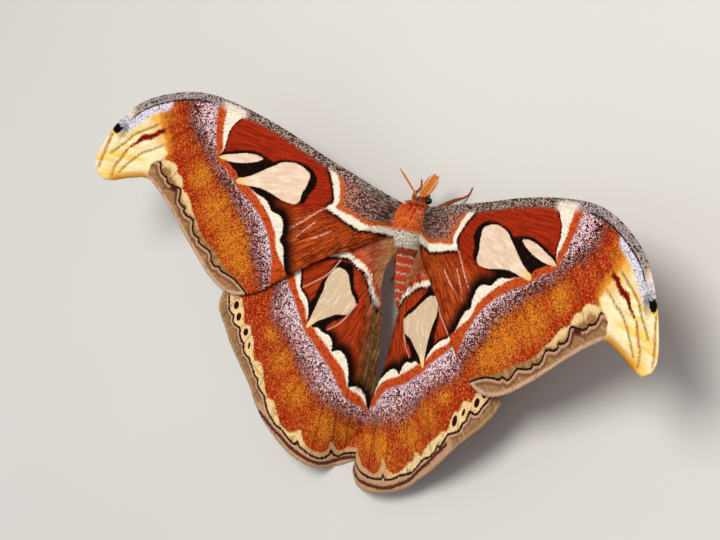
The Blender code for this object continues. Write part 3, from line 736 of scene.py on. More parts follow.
def wing_marks(name, uv):
    """A wing's marks at plan points. The right hindwing's pattern is drawn out inward."""
    kind, hand = kind_and_hand(name)
    placed = uv
    if name == "hindwing_right":
        placed = np.stack([uv[:, 0] + rear_corner(uv, *PATTERN_DRAW), uv[:, 1]], axis=1)
    marks = fore_marks(placed) if kind == "fore" else hind_marks(hand, uv, placed)
    marks["margin"] = line_distance(uv, spline(plan_of(name)["outer"], np.linspace(0, 1, 60)))
    level = np.zeros(len(placed))
    marks["plan"] = np.column_stack([placed, level])
    base = placed - np.array(RAY_CENTRE)
    angle = np.degrees(np.arctan2(base[:, 1], base[:, 0]))
    marks["ray"] = np.column_stack([np.linalg.norm(base, axis=1), angle, level])
    return marks


def add_object(name, data):
    obj = bpy.data.objects.new(name, data)
    bpy.context.scene.collection.objects.link(obj)
    return obj


def make_mesh(name, points, triangles, material, marks=None, bake_uv=None):
    """A mesh object from points in the moth's frame, with its marks as attributes."""
    mesh = bpy.data.meshes.new(name)
    mesh.vertices.add(len(points))
    mesh.vertices.foreach_set("co", ((points + SHIFT) * MM).astype(np.float32).ravel())
    mesh.loops.add(3 * len(triangles))
    mesh.loops.foreach_set("vertex_index", triangles.astype(np.int32).ravel())
    mesh.polygons.add(len(triangles))
    mesh.polygons.foreach_set("loop_start", np.arange(0, 3 * len(triangles), 3, dtype=np.int32))
    mesh.update(calc_edges=True)
    mesh.shade_smooth()
    for key, values in (marks or {}).items():
        kind, field = ("FLOAT", "value") if np.ndim(values) == 1 else ("FLOAT_VECTOR", "vector")
        data = mesh.attributes.new(key, kind, "POINT").data
        data.foreach_set(field, np.asarray(values, np.float32).ravel())
    if bake_uv is not None:
        layer = mesh.uv_layers.new(name="OFBake")
        layer.data.foreach_set("uv", bake_uv[triangles.ravel()].astype(np.float32).ravel())
    mesh.materials.append(material)
    return add_object(name, mesh)


def face_normals(points, faces):
    a, b, c = [points[faces[:, corner]] for corner in range(3)]
    return np.cross(b - a, c - a)


def bare_copy(material):
    """The same wing colours on bare membrane, which has no scales and shines a little."""
    name = material.name + "_bare"
    if name in bpy.data.materials:
        return bpy.data.materials[name]
    copy = material.copy()
    copy.name = name
    shader = copy.node_tree.nodes["Principled BSDF"]
    shader.inputs["Roughness"].default_value = 0.38
    shader.inputs["Specular IOR Level"].default_value = 0.35
    return copy


def wing_relief(kind, uv, marks, edge, scaled):
    """How far the membrane's faces stand out from it: veins, waves and folds, none at its edge."""
    ridge = VEIN_HEIGHT * np.exp(-(marks["vein"] / VEIN_WIDTH) ** 2) * scaled
    wave = 0.13 * np.sin(uv[:, 0] * 0.9 + 2.2 * np.sin(uv[:, 1] * 0.35)) * np.sin(uv[:, 1] * 0.8)
    relief = (ridge + wave * scaled) * edge
    if kind == "hind":
        return relief + 0.45 * marks["gold"] * edge
    folds = np.exp(-(np.minimum(marks["folds"], marks["brown_folds"]) / 1.1) ** 2)
    return relief - 0.5 * smooth(marks["lobe"] / 4) * folds * edge


def wing_piece(name, material):
    """The wing as a thin closed shell: fine scales' relief, veins and folds on both faces."""
    kind, _ = kind_and_hand(name)
    rows, columns = WING_GRID[kind]
    count = rows * columns
    s, t = pairs(np.linspace(0, 1, rows), np.linspace(0, 1, columns))
    uv, points = wing_surface(name, s, t)
    marks = wing_marks(name, uv)
    ends = uv.reshape(rows, columns, 2)
    width = np.maximum(np.repeat(np.linalg.norm(ends[:, -1] - ends[:, 0], axis=1), columns), 4)
    marks["vein"] = np.min([np.abs(t - vein) * width for vein in VEINS[kind]], axis=0)
    grid = points.reshape(rows, columns, 3)
    normals = unit(np.cross(np.gradient(grid, axis=0), np.gradient(grid, axis=1))).reshape(-1, 3)
    normals *= np.sign(normals[:, 2:3].mean())
    bare = 1 - smooth((marks["window"] + 0.2) / 0.5)
    edge = smooth(s / 0.06) * smooth((1 - s) / 0.02) * smooth(t / 0.02) * smooth((1 - t) / 0.02)
    relief = wing_relief(kind, uv, marks, edge, 1 - bare)
    half = MEMBRANE_HALF * (1 - bare) + WINDOW_HALF * bare
    top = points + normals * (half + relief)[:, None]
    bottom = points - normals * (half - 0.7 * relief)[:, None]
    bottom[:, 2] = np.maximum(bottom[:, 2], 2 * FLOOR_GAP)

    # Both faces and the rim between them
    index = np.arange(count).reshape(rows, columns)
    a, b, c, d = index[:-1, :-1], index[1:, :-1], index[1:, 1:], index[:-1, 1:]
    sheet = np.concatenate([np.stack([a, b, c], -1).reshape(-1, 3), np.stack([a, c, d], -1).reshape(-1, 3)])
    if face_normals(points, sheet)[:, 2].sum() < 0:
        sheet = sheet[:, ::-1]
    border = np.concatenate([index[:, 0], index[-1, 1:], index[-2::-1, -1], index[0, -2:0:-1]])
    following = np.roll(border, -1)
    rim = np.concatenate([np.stack([border, border + count, following + count], -1),
                          np.stack([border, following + count, following], -1)])
    everything = np.concatenate([top, bottom])
    outward = everything[rim[:, 0]] - points[border].mean(axis=0)
    if (face_normals(everything, rim) * outward).sum() < 0:
        rim = rim[:, ::-1]
    triangles = np.concatenate([sheet, sheet[:, ::-1] + count, rim])

    both = {key: np.concatenate([value, value]) for key, value in marks.items()}
    both["under"] = np.repeat([0.0, 1.0], count)
    upper = in_patch(WING_PATCH, s, t)
    bake = np.concatenate([upper, upper + np.array([0, 0.5])])
    obj = make_mesh(name + "_membrane", everything, triangles, material, both, bake)
    obj.data.materials.append(bare_copy(material))
    is_bare = (both["window"][triangles].max(axis=1) < 0.1).astype(np.int32)
    obj.data.polygons.foreach_set("material_index", is_bare)
    return obj


def tuft_mesh(name, material, roots, lie, normals, lengths, widths, rise, marks, places, tips=None, sink=0.12,
              flat=0.35, lowest=None):
    """Tapered, bent tufts of three sides. rise is their angle off the surface at root and tip, in degrees."""
    count = len(roots)
    side = unit(np.cross(lie, normals))
    start, end = [lie * math.cos(angle) + normals * math.sin(angle) for angle in np.radians(rise)]
    long = lengths[:, None]
    base = roots - normals * sink
    middle = base + long * (start * 0.5 + (end - start) * 0.125)
    tip = base + long * (start + (end - start) * 0.5)
    if tips is not None:
        tip = tip + tips
        middle = middle + tips * 0.35
    wide = widths[:, None] / 2
    stations = [base + side * wide * 0.7, base + normals * wide * flat, base - side * wide * 0.7,
                middle + side * wide, middle + normals * wide * flat * 1.6, middle - side * wide, tip]
    points = np.stack(stations, axis=1).reshape(-1, 3)
    if lowest is not None:
        points[:, 2] = np.maximum(points[:, 2], lowest)
    pattern = [(0, 1, 2)]
    for k in range(3):
        n = (k + 1) % 3
        pattern += [(k, 3 + n, n), (k, 3 + k, 3 + n), (3 + k, 6, 3 + n)]
    triangles = (np.arange(count)[:, None, None] * 7 + np.array(pattern)[None]).reshape(-1, 3)
    bake = (places[:, None, :] + LOCK_PATCH[None]).reshape(-1, 2)
    spread = {key: np.repeat(np.asarray(value), 7, axis=0) for key, value in marks.items()}
    spread["tip"] = np.tile([0, 0, 0, 0.5, 0.5, 0.5, 1.0], count)
    return make_mesh(name, points, triangles, material, spread, bake)


def clump(roots, tips, count, pull, rng):
    """How far each tip moves towards that of the clump it belongs to."""
    leaders = rng.choice(len(roots), min(count, len(roots)), replace=False)
    tree = KDTree(len(leaders))
    for order, leader in enumerate(leaders):
        tree.insert(roots[leader], order)
    tree.balance()
    own = np.array([leaders[tree.find(root)[1]] for root in roots])
    return (tips[own] - tips) * pull


def linear(red, green, blue):
    """A colour given as display values of 0 to 255, for a shader."""
    def one(value):
        value = value / 255
        return value / 12.92 if value <= 0.04045 else ((value + 0.055) / 1.055) ** 2.4
    return (one(red), one(green), one(blue), 1.0)


class Field:
    """A value worked out by a material's nodes. A sum, product or fade of it adds a node."""

    def __init__(self, painter, socket):
        self.painter, self.socket = painter, socket

    def __add__(self, other):
        return self.painter.math("ADD", self, other)

    def __sub__(self, other):
        return self.painter.math("SUBTRACT", self, other)

    def __rsub__(self, other):
        return self.painter.math("SUBTRACT", other, self)

    def __mul__(self, other):
        return self.painter.math("MULTIPLY", self, other)

    def __truediv__(self, other):
        return self.painter.math("DIVIDE", self, other)

    def __abs__(self):
        return self.painter.math("ABSOLUTE", self)

    def fade(self, start, end):
        """0 at start and 1 at end, eased and held beyond them. start may be above end."""
        low, high = sorted((start, end))
        rising = 1.0 if start < end else 0.0
        inputs = {"Value": self, "From Min": low, "From Max": high, "To Min": 1 - rising, "To Max": rising}
        return self.painter.add("MapRange", inputs, "Result", interpolation_type="SMOOTHSTEP")

    def past(self, place=0.0, soft=0.12):
        return self.fade(place - soft, place + soft)

    def before(self, place=0.0, soft=0.12):
        return self.fade(place + soft, place - soft)

    def scatter(self, density):
        """For random cells: 1 in a share of them, given by the density, and 0 in the others."""
        return (self + density).fade(0.98, 1.02)


class Painter:
    """A material whose colour is laid on in layers, each over the last by a factor."""

    def __init__(self, name, ground):
        self.material = bpy.data.materials.new(name)
        self.material.use_nodes = True
        self.tree = self.material.node_tree
        self.shader = self.tree.nodes["Principled BSDF"]
        self.colour = linear(*ground)
        self.seen = {}

    def feed(self, socket, value):
        if isinstance(value, Field):
            self.tree.links.new(value.socket, socket)
        else:
            socket.default_value = value

    def add(self, kind, inputs, output=0, **settings):
        """A new node's output. Its inputs are constants or fields."""
        node = self.tree.nodes.new("ShaderNode" + kind)
        for key, value in settings.items():
            setattr(node, key, value)
        for key, value in inputs.items():
            self.feed(node.inputs[key], value)
        return Field(self, node.outputs[output])

    def parts(self, kind, value):
        """A vector's or colour's three numbers."""
        first = self.add(kind, {0: value})
        return [Field(self, first.socket.node.outputs[k]) for k in range(3)]

    def mark(self, name, output="Fac"):
        key = (name, output)
        if key not in self.seen:
            self.seen[key] = self.add("Attribute", {}, output, attribute_name=name)
        return self.seen[key]

    def object_place(self):
        return self.add("TexCoord", {}, "Object")

    def math(self, operation, first, second=0.0):
        return self.add("Math", {0: first, 1: second}, operation=operation)

    def stretched(self, vector, scale):
        return self.add("Mapping", {"Vector": vector, "Scale": scale})

    def noise(self, vector, scale=1.0, detail=2.0, roughness=0.5):
        inputs = {"Vector": vector, "Scale": scale, "Detail": detail, "Roughness": roughness}
        return self.add("TexNoise", inputs)

    def cells(self, vector, scale):
        """Three random values for each small cell, and the distance to its middle."""
        colour = self.add("TexVoronoi", {"Vector": vector, "Scale": scale}, "Color")
        heart = Field(self, colour.socket.node.outputs["Distance"])
        return self.parts("SeparateColor", colour) + [heart]

    def mix(self, factor, first, second, blend="MIX"):
        return self.add("Mix", {0: factor, 6: first, 7: second}, 2, data_type="RGBA", blend_type=blend)

    def over(self, factor, colour):
        """Lays a colour, given as display values or as a field, over what is there."""
        self.colour = self.mix(factor, self.colour, colour if isinstance(colour, Field) else linear(*colour))

    def bump(self, height, strength, distance):
        inputs = {"Strength": strength, "Distance": distance * MM, "Height": height}
        self.feed(self.shader.inputs["Normal"], self.add("Bump", inputs, "Normal"))

    def finish(self, roughness=DULL, specular=DULL_SHINE):
        self.feed(self.shader.inputs["Base Color"], self.colour)
        self.shader.inputs["Roughness"].default_value = roughness
        self.shader.inputs["Specular IOR Level"].default_value = specular
        return self.material


def wing_painter(name, cell):
    """A painter with the fields that both wings' layers read."""
    p = Painter(name, DEEP_RED)
    p.plan, p.ray = p.mark("plan", "Vector"), p.mark("ray", "Vector")
    p.u, p.v, _ = p.parts("SeparateXYZ", p.plan)
    p.streaks = p.noise(p.stretched(p.ray, (0.10, 1.3, 1)), 1.0, 4.0, 0.65)
    p.clouds = p.noise(p.plan, 0.42, 4.0, 0.7)
    p.wobble = (p.noise(p.plan, 1.5, 3.0, 0.85) - 0.5) * 3.6 + (p.clouds - 0.5) * 1.1
    p.random, p.other, p.third, p.heart = p.cells(p.stretched(p.plan, cell), 1.0)
    return p


def edge(p, name, share=1.0):
    """A marking's distance, made ragged."""
    return p.mark(name) + p.wobble * share


def grained(p, value, amount):
    """A smooth field broken up by clouds and by single scales."""
    return value + (p.clouds - 0.5) * amount + (p.third - 0.5) * (amount * 0.6)


def outer_field(p, pm_in, dark_rim):
    """The orange field outside the line across the middle, with patches and a speckled pink band."""
    p.over(pm_in.past(), FIELD_ORANGE)
    outside = p.mark("pm_orange").past(0.0, 0.6)
    p.over(outside * grained(p, p.mark("red"), 0.9).fade(0.15, 0.85), FIELD_RED)
    p.over(outside * grained(p, p.mark("gold"), 0.9).fade(0.3, 1.05) * 0.9, GOLD)
    p.over(outside * p.random.scatter(0.24) * 0.55, (226, 150, 66))
    p.over(outside * p.other.scatter(0.30) * 0.75, (104, 26, 10))
    p.over(outside * p.mark("vein").before(0.5, 0.4) * 0.45, (120, 24, 10))

    # The band thins out outward, scale by scale
    pink_out = grained(p, p.mark("pink_out"), 7.0)
    band = outside * pink_out.fade(1.6, -3.4)
    p.over(band * 0.55, (146, 72, 48))
    p.over(band * p.third.scatter(pink_out.fade(-3.0, -9.0) * 0.32 + 0.52), PINK)
    p.over(band * pink_out.fade(-7.5, 0.0) * p.random.scatter(0.36), LILAC_GREY)
    density = p.clouds.fade(0.38, 0.68) * 0.28 + 0.25 + pink_out.fade(-5.2, -1.6) * dark_rim
    p.over(outside * pink_out.fade(3.6, -2.4) * p.other.scatter(density), SPECK)


def middle_line(p, pm_in):
    """Orange and white of the line across the middle."""
    pm_white, pm_orange = edge(p, "pm_white", 0.8), edge(p, "pm_orange")
    orange = pm_white.past(0.0, 0.3) * pm_orange.before(-0.3, 0.8)
    p.over(orange, PM_ORANGE)
    p.over(orange * p.clouds.fade(0.45, 0.7), (186, 50, 18))
    p.over(orange * p.random.scatter(0.26) * 0.8, (104, 30, 14))
    white = pm_in.past() * pm_white.before(0.0, 0.35)
    p.over(white, CREAM_WHITE)
    p.over(white * p.random.scatter(0.10) * 0.6, (170, 130, 110))


def across_middle(p, reach, rough, end, dark_rim):
    """The field darkens over its reach towards the line across the middle, which the outer field follows."""
    pm_in = edge(p, "pm_in", 0.5)
    shade = (pm_in + (p.streaks - 0.5) * rough + reach) / reach
    p.over(shade.fade(0.0, end) * pm_in.before(), BLACK)
    outer_field(p, pm_in, dark_rim)
    middle_line(p, pm_in)
    return pm_in


def base_line(p, warm):
    """The white line near the base, orange on its inner side and black on its outer side."""
    am_white, am_zone = edge(p, "am_white", 0.9), edge(p, "am_zone", 0.9)
    orange = am_white.before(1.7, 0.7) * am_zone.before()
    p.over(orange, warm)
    p.over(orange * p.random.scatter(0.22) * 0.7, (112, 40, 22))
    p.over(am_zone.past() * am_zone.before(1.15, 0.5), BLACK)
    p.over(am_white.before(0.0, 0.3), CREAM_WHITE)


def window_layers(p, glow):
    """A pale bare window in its black rim, with painted shade and painted highlight along its creases."""
    p.over(edge(p, "rim", 0.8).before(0.0, 0.25) * p.mark("pm_white").before(0.2), BLACK)
    p.over(p.mark("rim").before(-0.4, 0.3) * p.clouds.fade(0.5, 0.7) * 0.5, (70, 24, 14))
    window = edge(p, "window", 0.35)
    bare = window.before()
    p.over(bare, glow)
    p.over(bare * p.streaks.fade(0.50, 0.72) * 0.4, (214, 170, 140))
    # Painted shade and painted highlight in streaks along the window's creases
    crease_shade_and_highlight = p.noise(p.stretched(p.ray, (0.16, 0.62, 1)), 1.0, 2.0, 0.6)
    p.over(bare * crease_shade_and_highlight.fade(0.50, 0.62) * 0.4, (210, 172, 144))
    p.over(bare * crease_shade_and_highlight.fade(0.48, 0.36) * 0.35, (252, 236, 220))
    return window


def wing_finish(p, window):
    """Painted shade towards the edge of each single scale, the paler under side, and the relief."""
    scaled = window.past(0.1)
    # Painted shade in the gaps between the scales, where their bump sinks
    p.colour = p.mix(scaled * p.heart.fade(0.35, 0.8) * 0.3, p.colour, SCALE_GAP_SHADE, "MULTIPLY")
    p.over(p.mark("under") * 0.38, UNDERSIDE)
    ripple = p.noise(p.stretched(p.plan, (0.5, 1.6, 1)), 1.0, 3.0, 0.6) * window.before()
    p.bump(p.heart * scaled + p.streaks * 1.6 + (p.clouds * 2.2 + ripple * 4.0), 0.6, 0.3)
    return p.finish()


def fore_material():
    p = wing_painter("forewing_scales", (2.4, 3.1, 1))

    # Field between the base and the line across the middle, darker towards that
    low = (p.v + p.noise(p.plan, 0.16, 3.0, 0.6) * 4.0).fade(-7.0, -13.0)
    p.over(p.streaks.fade(0.45, 0.65) * 0.6, (186, 52, 18))
    p.over(low, BROWN_RED)
    p.over(low * p.streaks.fade(0.42, 0.64), RUST)
    p.over(p.streaks.fade(0.54, 0.36) * 0.42, DARK_BROWN)
    p.over(p.mark("pale_lines").before(0.30, 0.15) * p.random.scatter(0.7), (226, 176, 160))
    p.over(p.mark("dark_lines").before(0.22, 0.12) * 0.8, BLACK)
    across_middle(p, p.v.fade(6.0, -12.0) * 5.5 + 0.9, 4.0, 0.8, 0.26)

    # Basal field and the white line round it
    basal = edge(p, "am_zone", 0.9).before()
    p.over(basal, BASAL)
    p.over(basal * p.random.scatter(0.34), (30, 18, 18))
    p.over(basal * p.other.scatter(0.30), (186, 146, 138))
    p.over(basal * p.u.fade(15.0, 22.0) * p.third.scatter(0.3), (206, 110, 70))
    base_line(p, (204, 98, 40))

    # Windows, each with a yellow tip
    tip = p.u.fade(61.5, 66.0) * p.v.fade(-1.5, -3.5) + p.u.fade(72.0, 76.5)
    window = window_layers(p, p.mix(tip, linear(*WINDOW), linear(244, 196, 96)))

    # Costal band
    costa = edge(p, "costa", 1.3)
    apex = p.u.fade(119.5, 113.5)
    band = costa.before(2.9, 0.8) * apex
    p.over(band, p.mix(p.u.fade(66, 80), linear(*GREY_BROWN), linear(146, 132, 134)))
    p.over(band * p.random.scatter(0.36), (38, 30, 28))
    p.over(band * p.third.scatter(0.27), (190, 172, 160))
    pale = costa.past(0.9, 0.5) * costa.before(3.6, 0.8) * p.u.fade(67, 70) * p.u.fade(80, 76)
    p.over(pale * 0.85, (244, 228, 210))
    line = p.mark("costa").past(2.6, 0.2) * p.mark("costa").before(3.3, 0.2) * p.u.fade(80, 86) * apex
    p.over(line * p.other.scatter(0.85), (34, 24, 26))

    # Tip of the wing: golden, then cream, with painted shade in its folds and along its rolled lower margin,
    # a dark red streak and a black spot
    lobe = p.mark("lobe") + (p.clouds - 0.5) * 3.0
    inward = p.math("MAXIMUM", costa.past(2.9, 0.5), 1.0 - apex)
    p.over(lobe.fade(-4.0, 0.5) * p.v.past(-2.0, 3.0) * inward, (226, 144, 44))
    tip = lobe.fade(-0.6, 1.4) * inward
    p.over(tip, YELLOW)
    p.over(tip * p.noise(p.stretched(p.ray, (0.05, 0.7, 1)), 1.0, 1.0, 0.4).fade(0.35, 0.6), PALE_YELLOW)
    p.over(tip * lobe.fade(7.0, 1.0) * p.v.past(1.0, 2.0) * 0.8, (236, 176, 62))
    # Painted shade along the tip's lower margin, where it rolls down
    p.over(tip * p.mark("margin").fade(3.4, 0.2) * p.u.fade(124, 119), (200, 138, 40))
    # Painted shade in the tip's folds; along the brown folds it is laid with their own brown
    p.over(tip * edge(p, "folds", 0.4).fade(0.8, 0.1) * 0.85, (142, 96, 44))
    p.over(tip * edge(p, "brown_folds", 0.4).fade(1.0, 0.1) * 0.85, (170, 84, 26))
    lilac = edge(p, "lilac").fade(4.0, 2.2) * inward
    p.over(lilac, (226, 220, 232))
    p.over(lilac * p.random.scatter(0.25), (128, 126, 142))
    p.over(line * p.u.fade(90, 98) * p.other.scatter(0.8), (42, 34, 44))
    p.over(edge(p, "streak").before(0.0, 0.2), (120, 12, 6))
    p.over(edge(p, "eyespot").before(2.2, 1.0) * p.u.fade(122, 118) * 0.7, (96, 92, 104))
    p.over(edge(p, "eyespot", 0.6).before(0.0, 0.2), (14, 10, 12))

    # Outer margin: tan, with a fine black line that steps at the veins
    tan_in, wavy = edge(p, "tan_in", 0.8), edge(p, "wavy", 0.3)
    border = tan_in.past(0.0, 0.25) * lobe.before(0.4, 0.4)
    p.over(border, TAN)
    p.over(border * p.clouds.fade(0.42, 0.68) * 0.7, (138, 96, 58))
    p.over(border * p.streaks.fade(0.46, 0.66) * 0.5, (202, 164, 118))
    p.over(border * tan_in.fade(1.7, 0.4) * p.u.fade(74, 90), CREAM)
    p.over(border * wavy.fade(-2.6, -0.9) * wavy.before(-0.3) * p.clouds.fade(0.42, 0.6), OLIVE)
    p.over(border * tan_in.fade(3.4, 1.8) * p.u.fade(80, 87) * wavy.before(-0.9, 0.5) * 0.85, CREAM)
    outer = border * wavy.past(0.3, 0.2)
    p.over(outer * wavy.fade(2.2, 1.0), (192, 148, 116))
    p.over(outer * abs(wavy - 1.7).before(0.5, 0.3) * 0.8, (112, 68, 44))
    p.over(outer * p.mark("margin").fade(1.5, 0.4), (202, 164, 134))
    spot = outer * p.u.fade(90.5, 92.0) * p.u.fade(95.5, 94.0)
    p.over(spot * wavy.fade(2.6, 1.2), (84, 22, 14))
    p.over(border * p.mark("vein").before(0.3, 0.3) * 0.6, (92, 54, 34))
    p.over(border * abs(wavy).before(0.40, 0.16), (36, 18, 12))
    return wing_finish(p, window)


def hind_material():
    p = wing_painter("hindwing_scales", (2.8, 2.8, 1))

    # Field round the window, streaked with long hair scales, darker towards the line across the middle
    p.over(p.streaks.fade(0.40, 0.62), (178, 66, 24))
    p.over(p.streaks.fade(0.56, 0.38) * 0.45, DARK_BROWN)
    p.over(p.u.fade(7, 0) * 0.85, (112, 72, 38))
    p.over(p.u.fade(5, -2) * p.streaks.fade(0.45, 0.6), (160, 124, 78))
    pm_in = across_middle(p, p.u.fade(25, 12) * 3.6 + 1.6, 3.0, 0.75, 0.06)
    p.over(p.mark("dark_lines").before(0.3, 0.12) * 0.7, (70, 26, 14))

    # Base, orange-red, and the white line round it
    basal = edge(p, "am_zone", 0.9).before() * p.u.fade(-1, 5)
    p.over(basal, (200, 72, 36))
    p.over(basal * p.streaks.fade(0.44, 0.62), (220, 144, 104))
    foot = p.u.fade(7, 2) * p.v.fade(-36, -26)
    p.over(foot * 0.75, (206, 128, 70))
    p.over(foot * p.streaks.fade(0.36, 0.6) * 0.8, (232, 182, 124))
    base_line(p, (214, 80, 40))

    # Window with its black rim and the pale veins beside it
    window = window_layers(p, p.mix(p.v.fade(-39.0, -43.0), linear(206, 178, 142), linear(240, 200, 118)))
    p.over(p.mark("pale_lines").before(0.26, 0.15) * pm_in.before() * 0.85, (226, 166, 142))

    # Outer margin: cream and tan, dark spots near the front, and dark lines
    tan_in, wavy = edge(p, "tan_in", 0.9), edge(p, "wavy", 0.5)
    border = tan_in.past(0.0, 0.25)
    p.over(border, TAN)
    cream = border * wavy.before()
    p.over(cream, CREAM)
    p.over(cream * p.clouds.fade(0.5, 0.66), (190, 140, 86))
    p.over(cream * p.u.fade(24, 14), (206, 158, 112))
    outer = border * wavy.past(0.3, 0.2)
    p.over(outer * wavy.fade(2.4, 1.4), (200, 152, 122))
    p.over(outer * abs(wavy - 1.5).before(0.4, 0.2) * 0.8, (82, 44, 32))
    p.over(outer * p.mark("margin").fade(3.0, 1.4) * 0.7, (140, 104, 64))
    p.over(outer * p.streaks.fade(0.46, 0.66) * 0.5, (196, 160, 116))
    p.over(border * p.mark("margin").fade(1.1, 0.2), (176, 144, 104))
    p.over(border * p.mark("vein").before(0.3, 0.3) * 0.6, (92, 54, 34))
    p.over(outer * p.mark("brown_line").fade(4.0, 2.0) * 0.7, (206, 160, 124))
    p.over(border * edge(p, "brown_line", 0.5).before(0.62, 0.3), (84, 40, 32))
    p.over(border * abs(wavy).before(0.42, 0.14), (40, 20, 14))
    p.over(p.mark("spots").before(1.45, 0.12), (236, 196, 150))
    p.over(p.mark("spots").before(1.0, 0.12), (48, 16, 12))
    return wing_finish(p, window)


def body_stations():
    """The skin's stations from the face to the tail: y, centre height, half-width, rise and drop."""
    stations = []
    for y, z, *sizes in HEAD:
        coat = HEAD_COAT * min(1, sizes[0] / 1.5)
        stations.append((y, z, *[size - coat for size in sizes]))
    stations.append(NECK)
    stations += [(y, z, *[size - THORAX_COAT for size in sizes]) for y, z, *sizes in THORAX]
    count = ABDOMEN_SEGMENTS * RINGS_PER_SEGMENT
    start, slope, bend = ABDOMEN_HEIGHT
    knots = np.linspace(0, 1, len(ABDOMEN_WIDTHS))
    for k in range(count + 1):
        along = k / count
        swell = 0.98 + 0.05 * math.sin(math.pi * (k % RINGS_PER_SEGMENT) / RINGS_PER_SEGMENT)
        half = float(np.interp(along, knots, ABDOMEN_WIDTHS)) * swell - ABDOMEN_COAT
        height = start + slope * along + bend * along ** 2
        stations.append((ABDOMEN_FRONT_Y - ABDOMEN_LENGTH * along, height, half, half, half * ABDOMEN_BELOW))
    return np.array(stations)


STATIONS = body_stations()
FACE_Y, TAIL_Y = STATIONS[0, 0], STATIONS[-1, 0]


def station_value(y, column):
    return np.interp(-y, -STATIONS[:, 0], STATIONS[:, column])


def body_point(along, around):
    """Skin position for shares of the length and of the turn, the turn starting at the right side."""
    y = FACE_Y + (TAIL_Y - FACE_Y) * along
    z, wide, rise, drop = [station_value(y, k) for k in (1, 2, 3, 4)]
    angle = 2 * np.pi * around
    height = np.where(np.sin(angle) > 0, rise, drop)
    return np.stack([wide * np.cos(angle), y, z + height * np.sin(angle)], axis=-1)


def body_frame(y, around):
    """Share of the length, skin position, outward normal and backward direction."""
    step = 0.004
    along = (FACE_Y - y) / (FACE_Y - TAIL_Y)
    here = body_point(along, around)
    before, behind = np.maximum(along - step, 0), np.minimum(along + step, 1)
    back = unit(body_point(behind, around) - body_point(before, around))
    sideways = unit(body_point(along, around + step) - body_point(along, around - step))
    normal = unit(np.cross(sideways, back))
    outward = here[:, 0] * normal[:, 0] + (here[:, 2] - station_value(here[:, 1], 1)) * normal[:, 2]
    return along, here, normal * np.where(outward < 0, -1, 1)[:, None], back


def tube_faces(rings, sides):
    """Triangles of a closed tube's sides and of its two ends."""
    index = np.arange(rings * sides).reshape(rings, sides)
    a, b = index[:-1], index[1:]
    a2, b2 = np.roll(a, -1, axis=1), np.roll(b, -1, axis=1)
    first, last = index[0], index[-1]
    return np.concatenate([
        np.stack([a, a2, b2], -1).reshape(-1, 3), np.stack([a, b2, b], -1).reshape(-1, 3),
        np.stack([np.full(sides - 2, first[0]), first[2:], first[1:-1]], -1),
        np.stack([np.full(sides - 2, last[0]), last[1:-1], last[2:]], -1),
    ])


def outward_faces(points, faces):
    """The faces, all turned over if the closed surface they make is inside out."""
    a, b, c = [points[faces[:, corner]] for corner in range(3)]
    return faces if (a * np.cross(b, c)).sum() > 0 else faces[:, ::-1]


def tube(path, radii, sides):
    """Points, above the floor, and faces of a closed tube along a path."""
    ahead = unit(np.gradient(path, axis=0))
    side = unit(np.cross(ahead, [0.0, 0.0, 1.0]))
    up = np.cross(side, ahead)
    angles = np.linspace(0, 2 * np.pi, sides, endpoint=False)
    ring = side[:, None] * np.cos(angles)[None, :, None] + up[:, None] * np.sin(angles)[None, :, None]
    points = (path[:, None] + ring * radii[:, None, None]).reshape(-1, 3)
    points[:, 2] = np.maximum(points[:, 2], FLOOR_GAP)
    return points, outward_faces(points, tube_faces(len(path), sides))


def tubes_piece(name, tubes, material):
    """One mesh of several tubes."""
    starts = np.cumsum([0] + [len(points) for points, _ in tubes])
    faces = [faces + start for (_, faces), start in zip(tubes, starts)]
    return make_mesh(name, np.concatenate([points for points, _ in tubes]), np.concatenate(faces), material)


def leg_path(row, hand):
    steps = np.linspace(0, 1, LEG_RINGS)
    path = spline(np.array(LEGS[row]) * [SIDES[hand], 1, 1], steps)
    radii = np.interp(steps, np.linspace(0, 1, len(LEG_RADII)), LEG_RADII)
    joints = 1 + 0.12 * np.cos(steps * 2 * np.pi * 9) * smooth((steps - 0.55) / 0.1)
    return path, radii * joints


def body_marks(along, around, part, third):
    """Marks of skin and pile: part is 1 on the legs, and third names the last one and gives its values."""
    return {"along": along, "around": around, "part": np.full(len(along), float(part)), third[0]: third[1]}


def restore_marks(mesh):
    """Writes the joined skin's marks again from its bake map, where the legs' strips lie past the body's."""
    uv, index = np.zeros(2 * len(mesh.loops), np.float32), np.zeros(len(mesh.loops), np.int32)
    mesh.uv_layers["OFBake"].data.foreach_get("uv", uv)
    mesh.loops.foreach_get("vertex_index", index)
    places = np.zeros(3 * len(mesh.vertices), np.float32)
    mesh.vertices.foreach_get("co", places)
    along = places[1::3] / MM - SHIFT[1]
    part = np.zeros(len(mesh.vertices))
    uv = uv.reshape(-1, 2)
    on_leg = uv[:, 0] > LEGS_FROM
    part[index[on_leg]] = 1.0
    along[index[on_leg]] = (uv[on_leg, 1] - BODY_PATCH[2]) / BODY_PATCH[3]
    for key, values in (("part", part), ("along", along)):
        mesh.attributes[key].data.foreach_set("value", values.astype(np.float32))


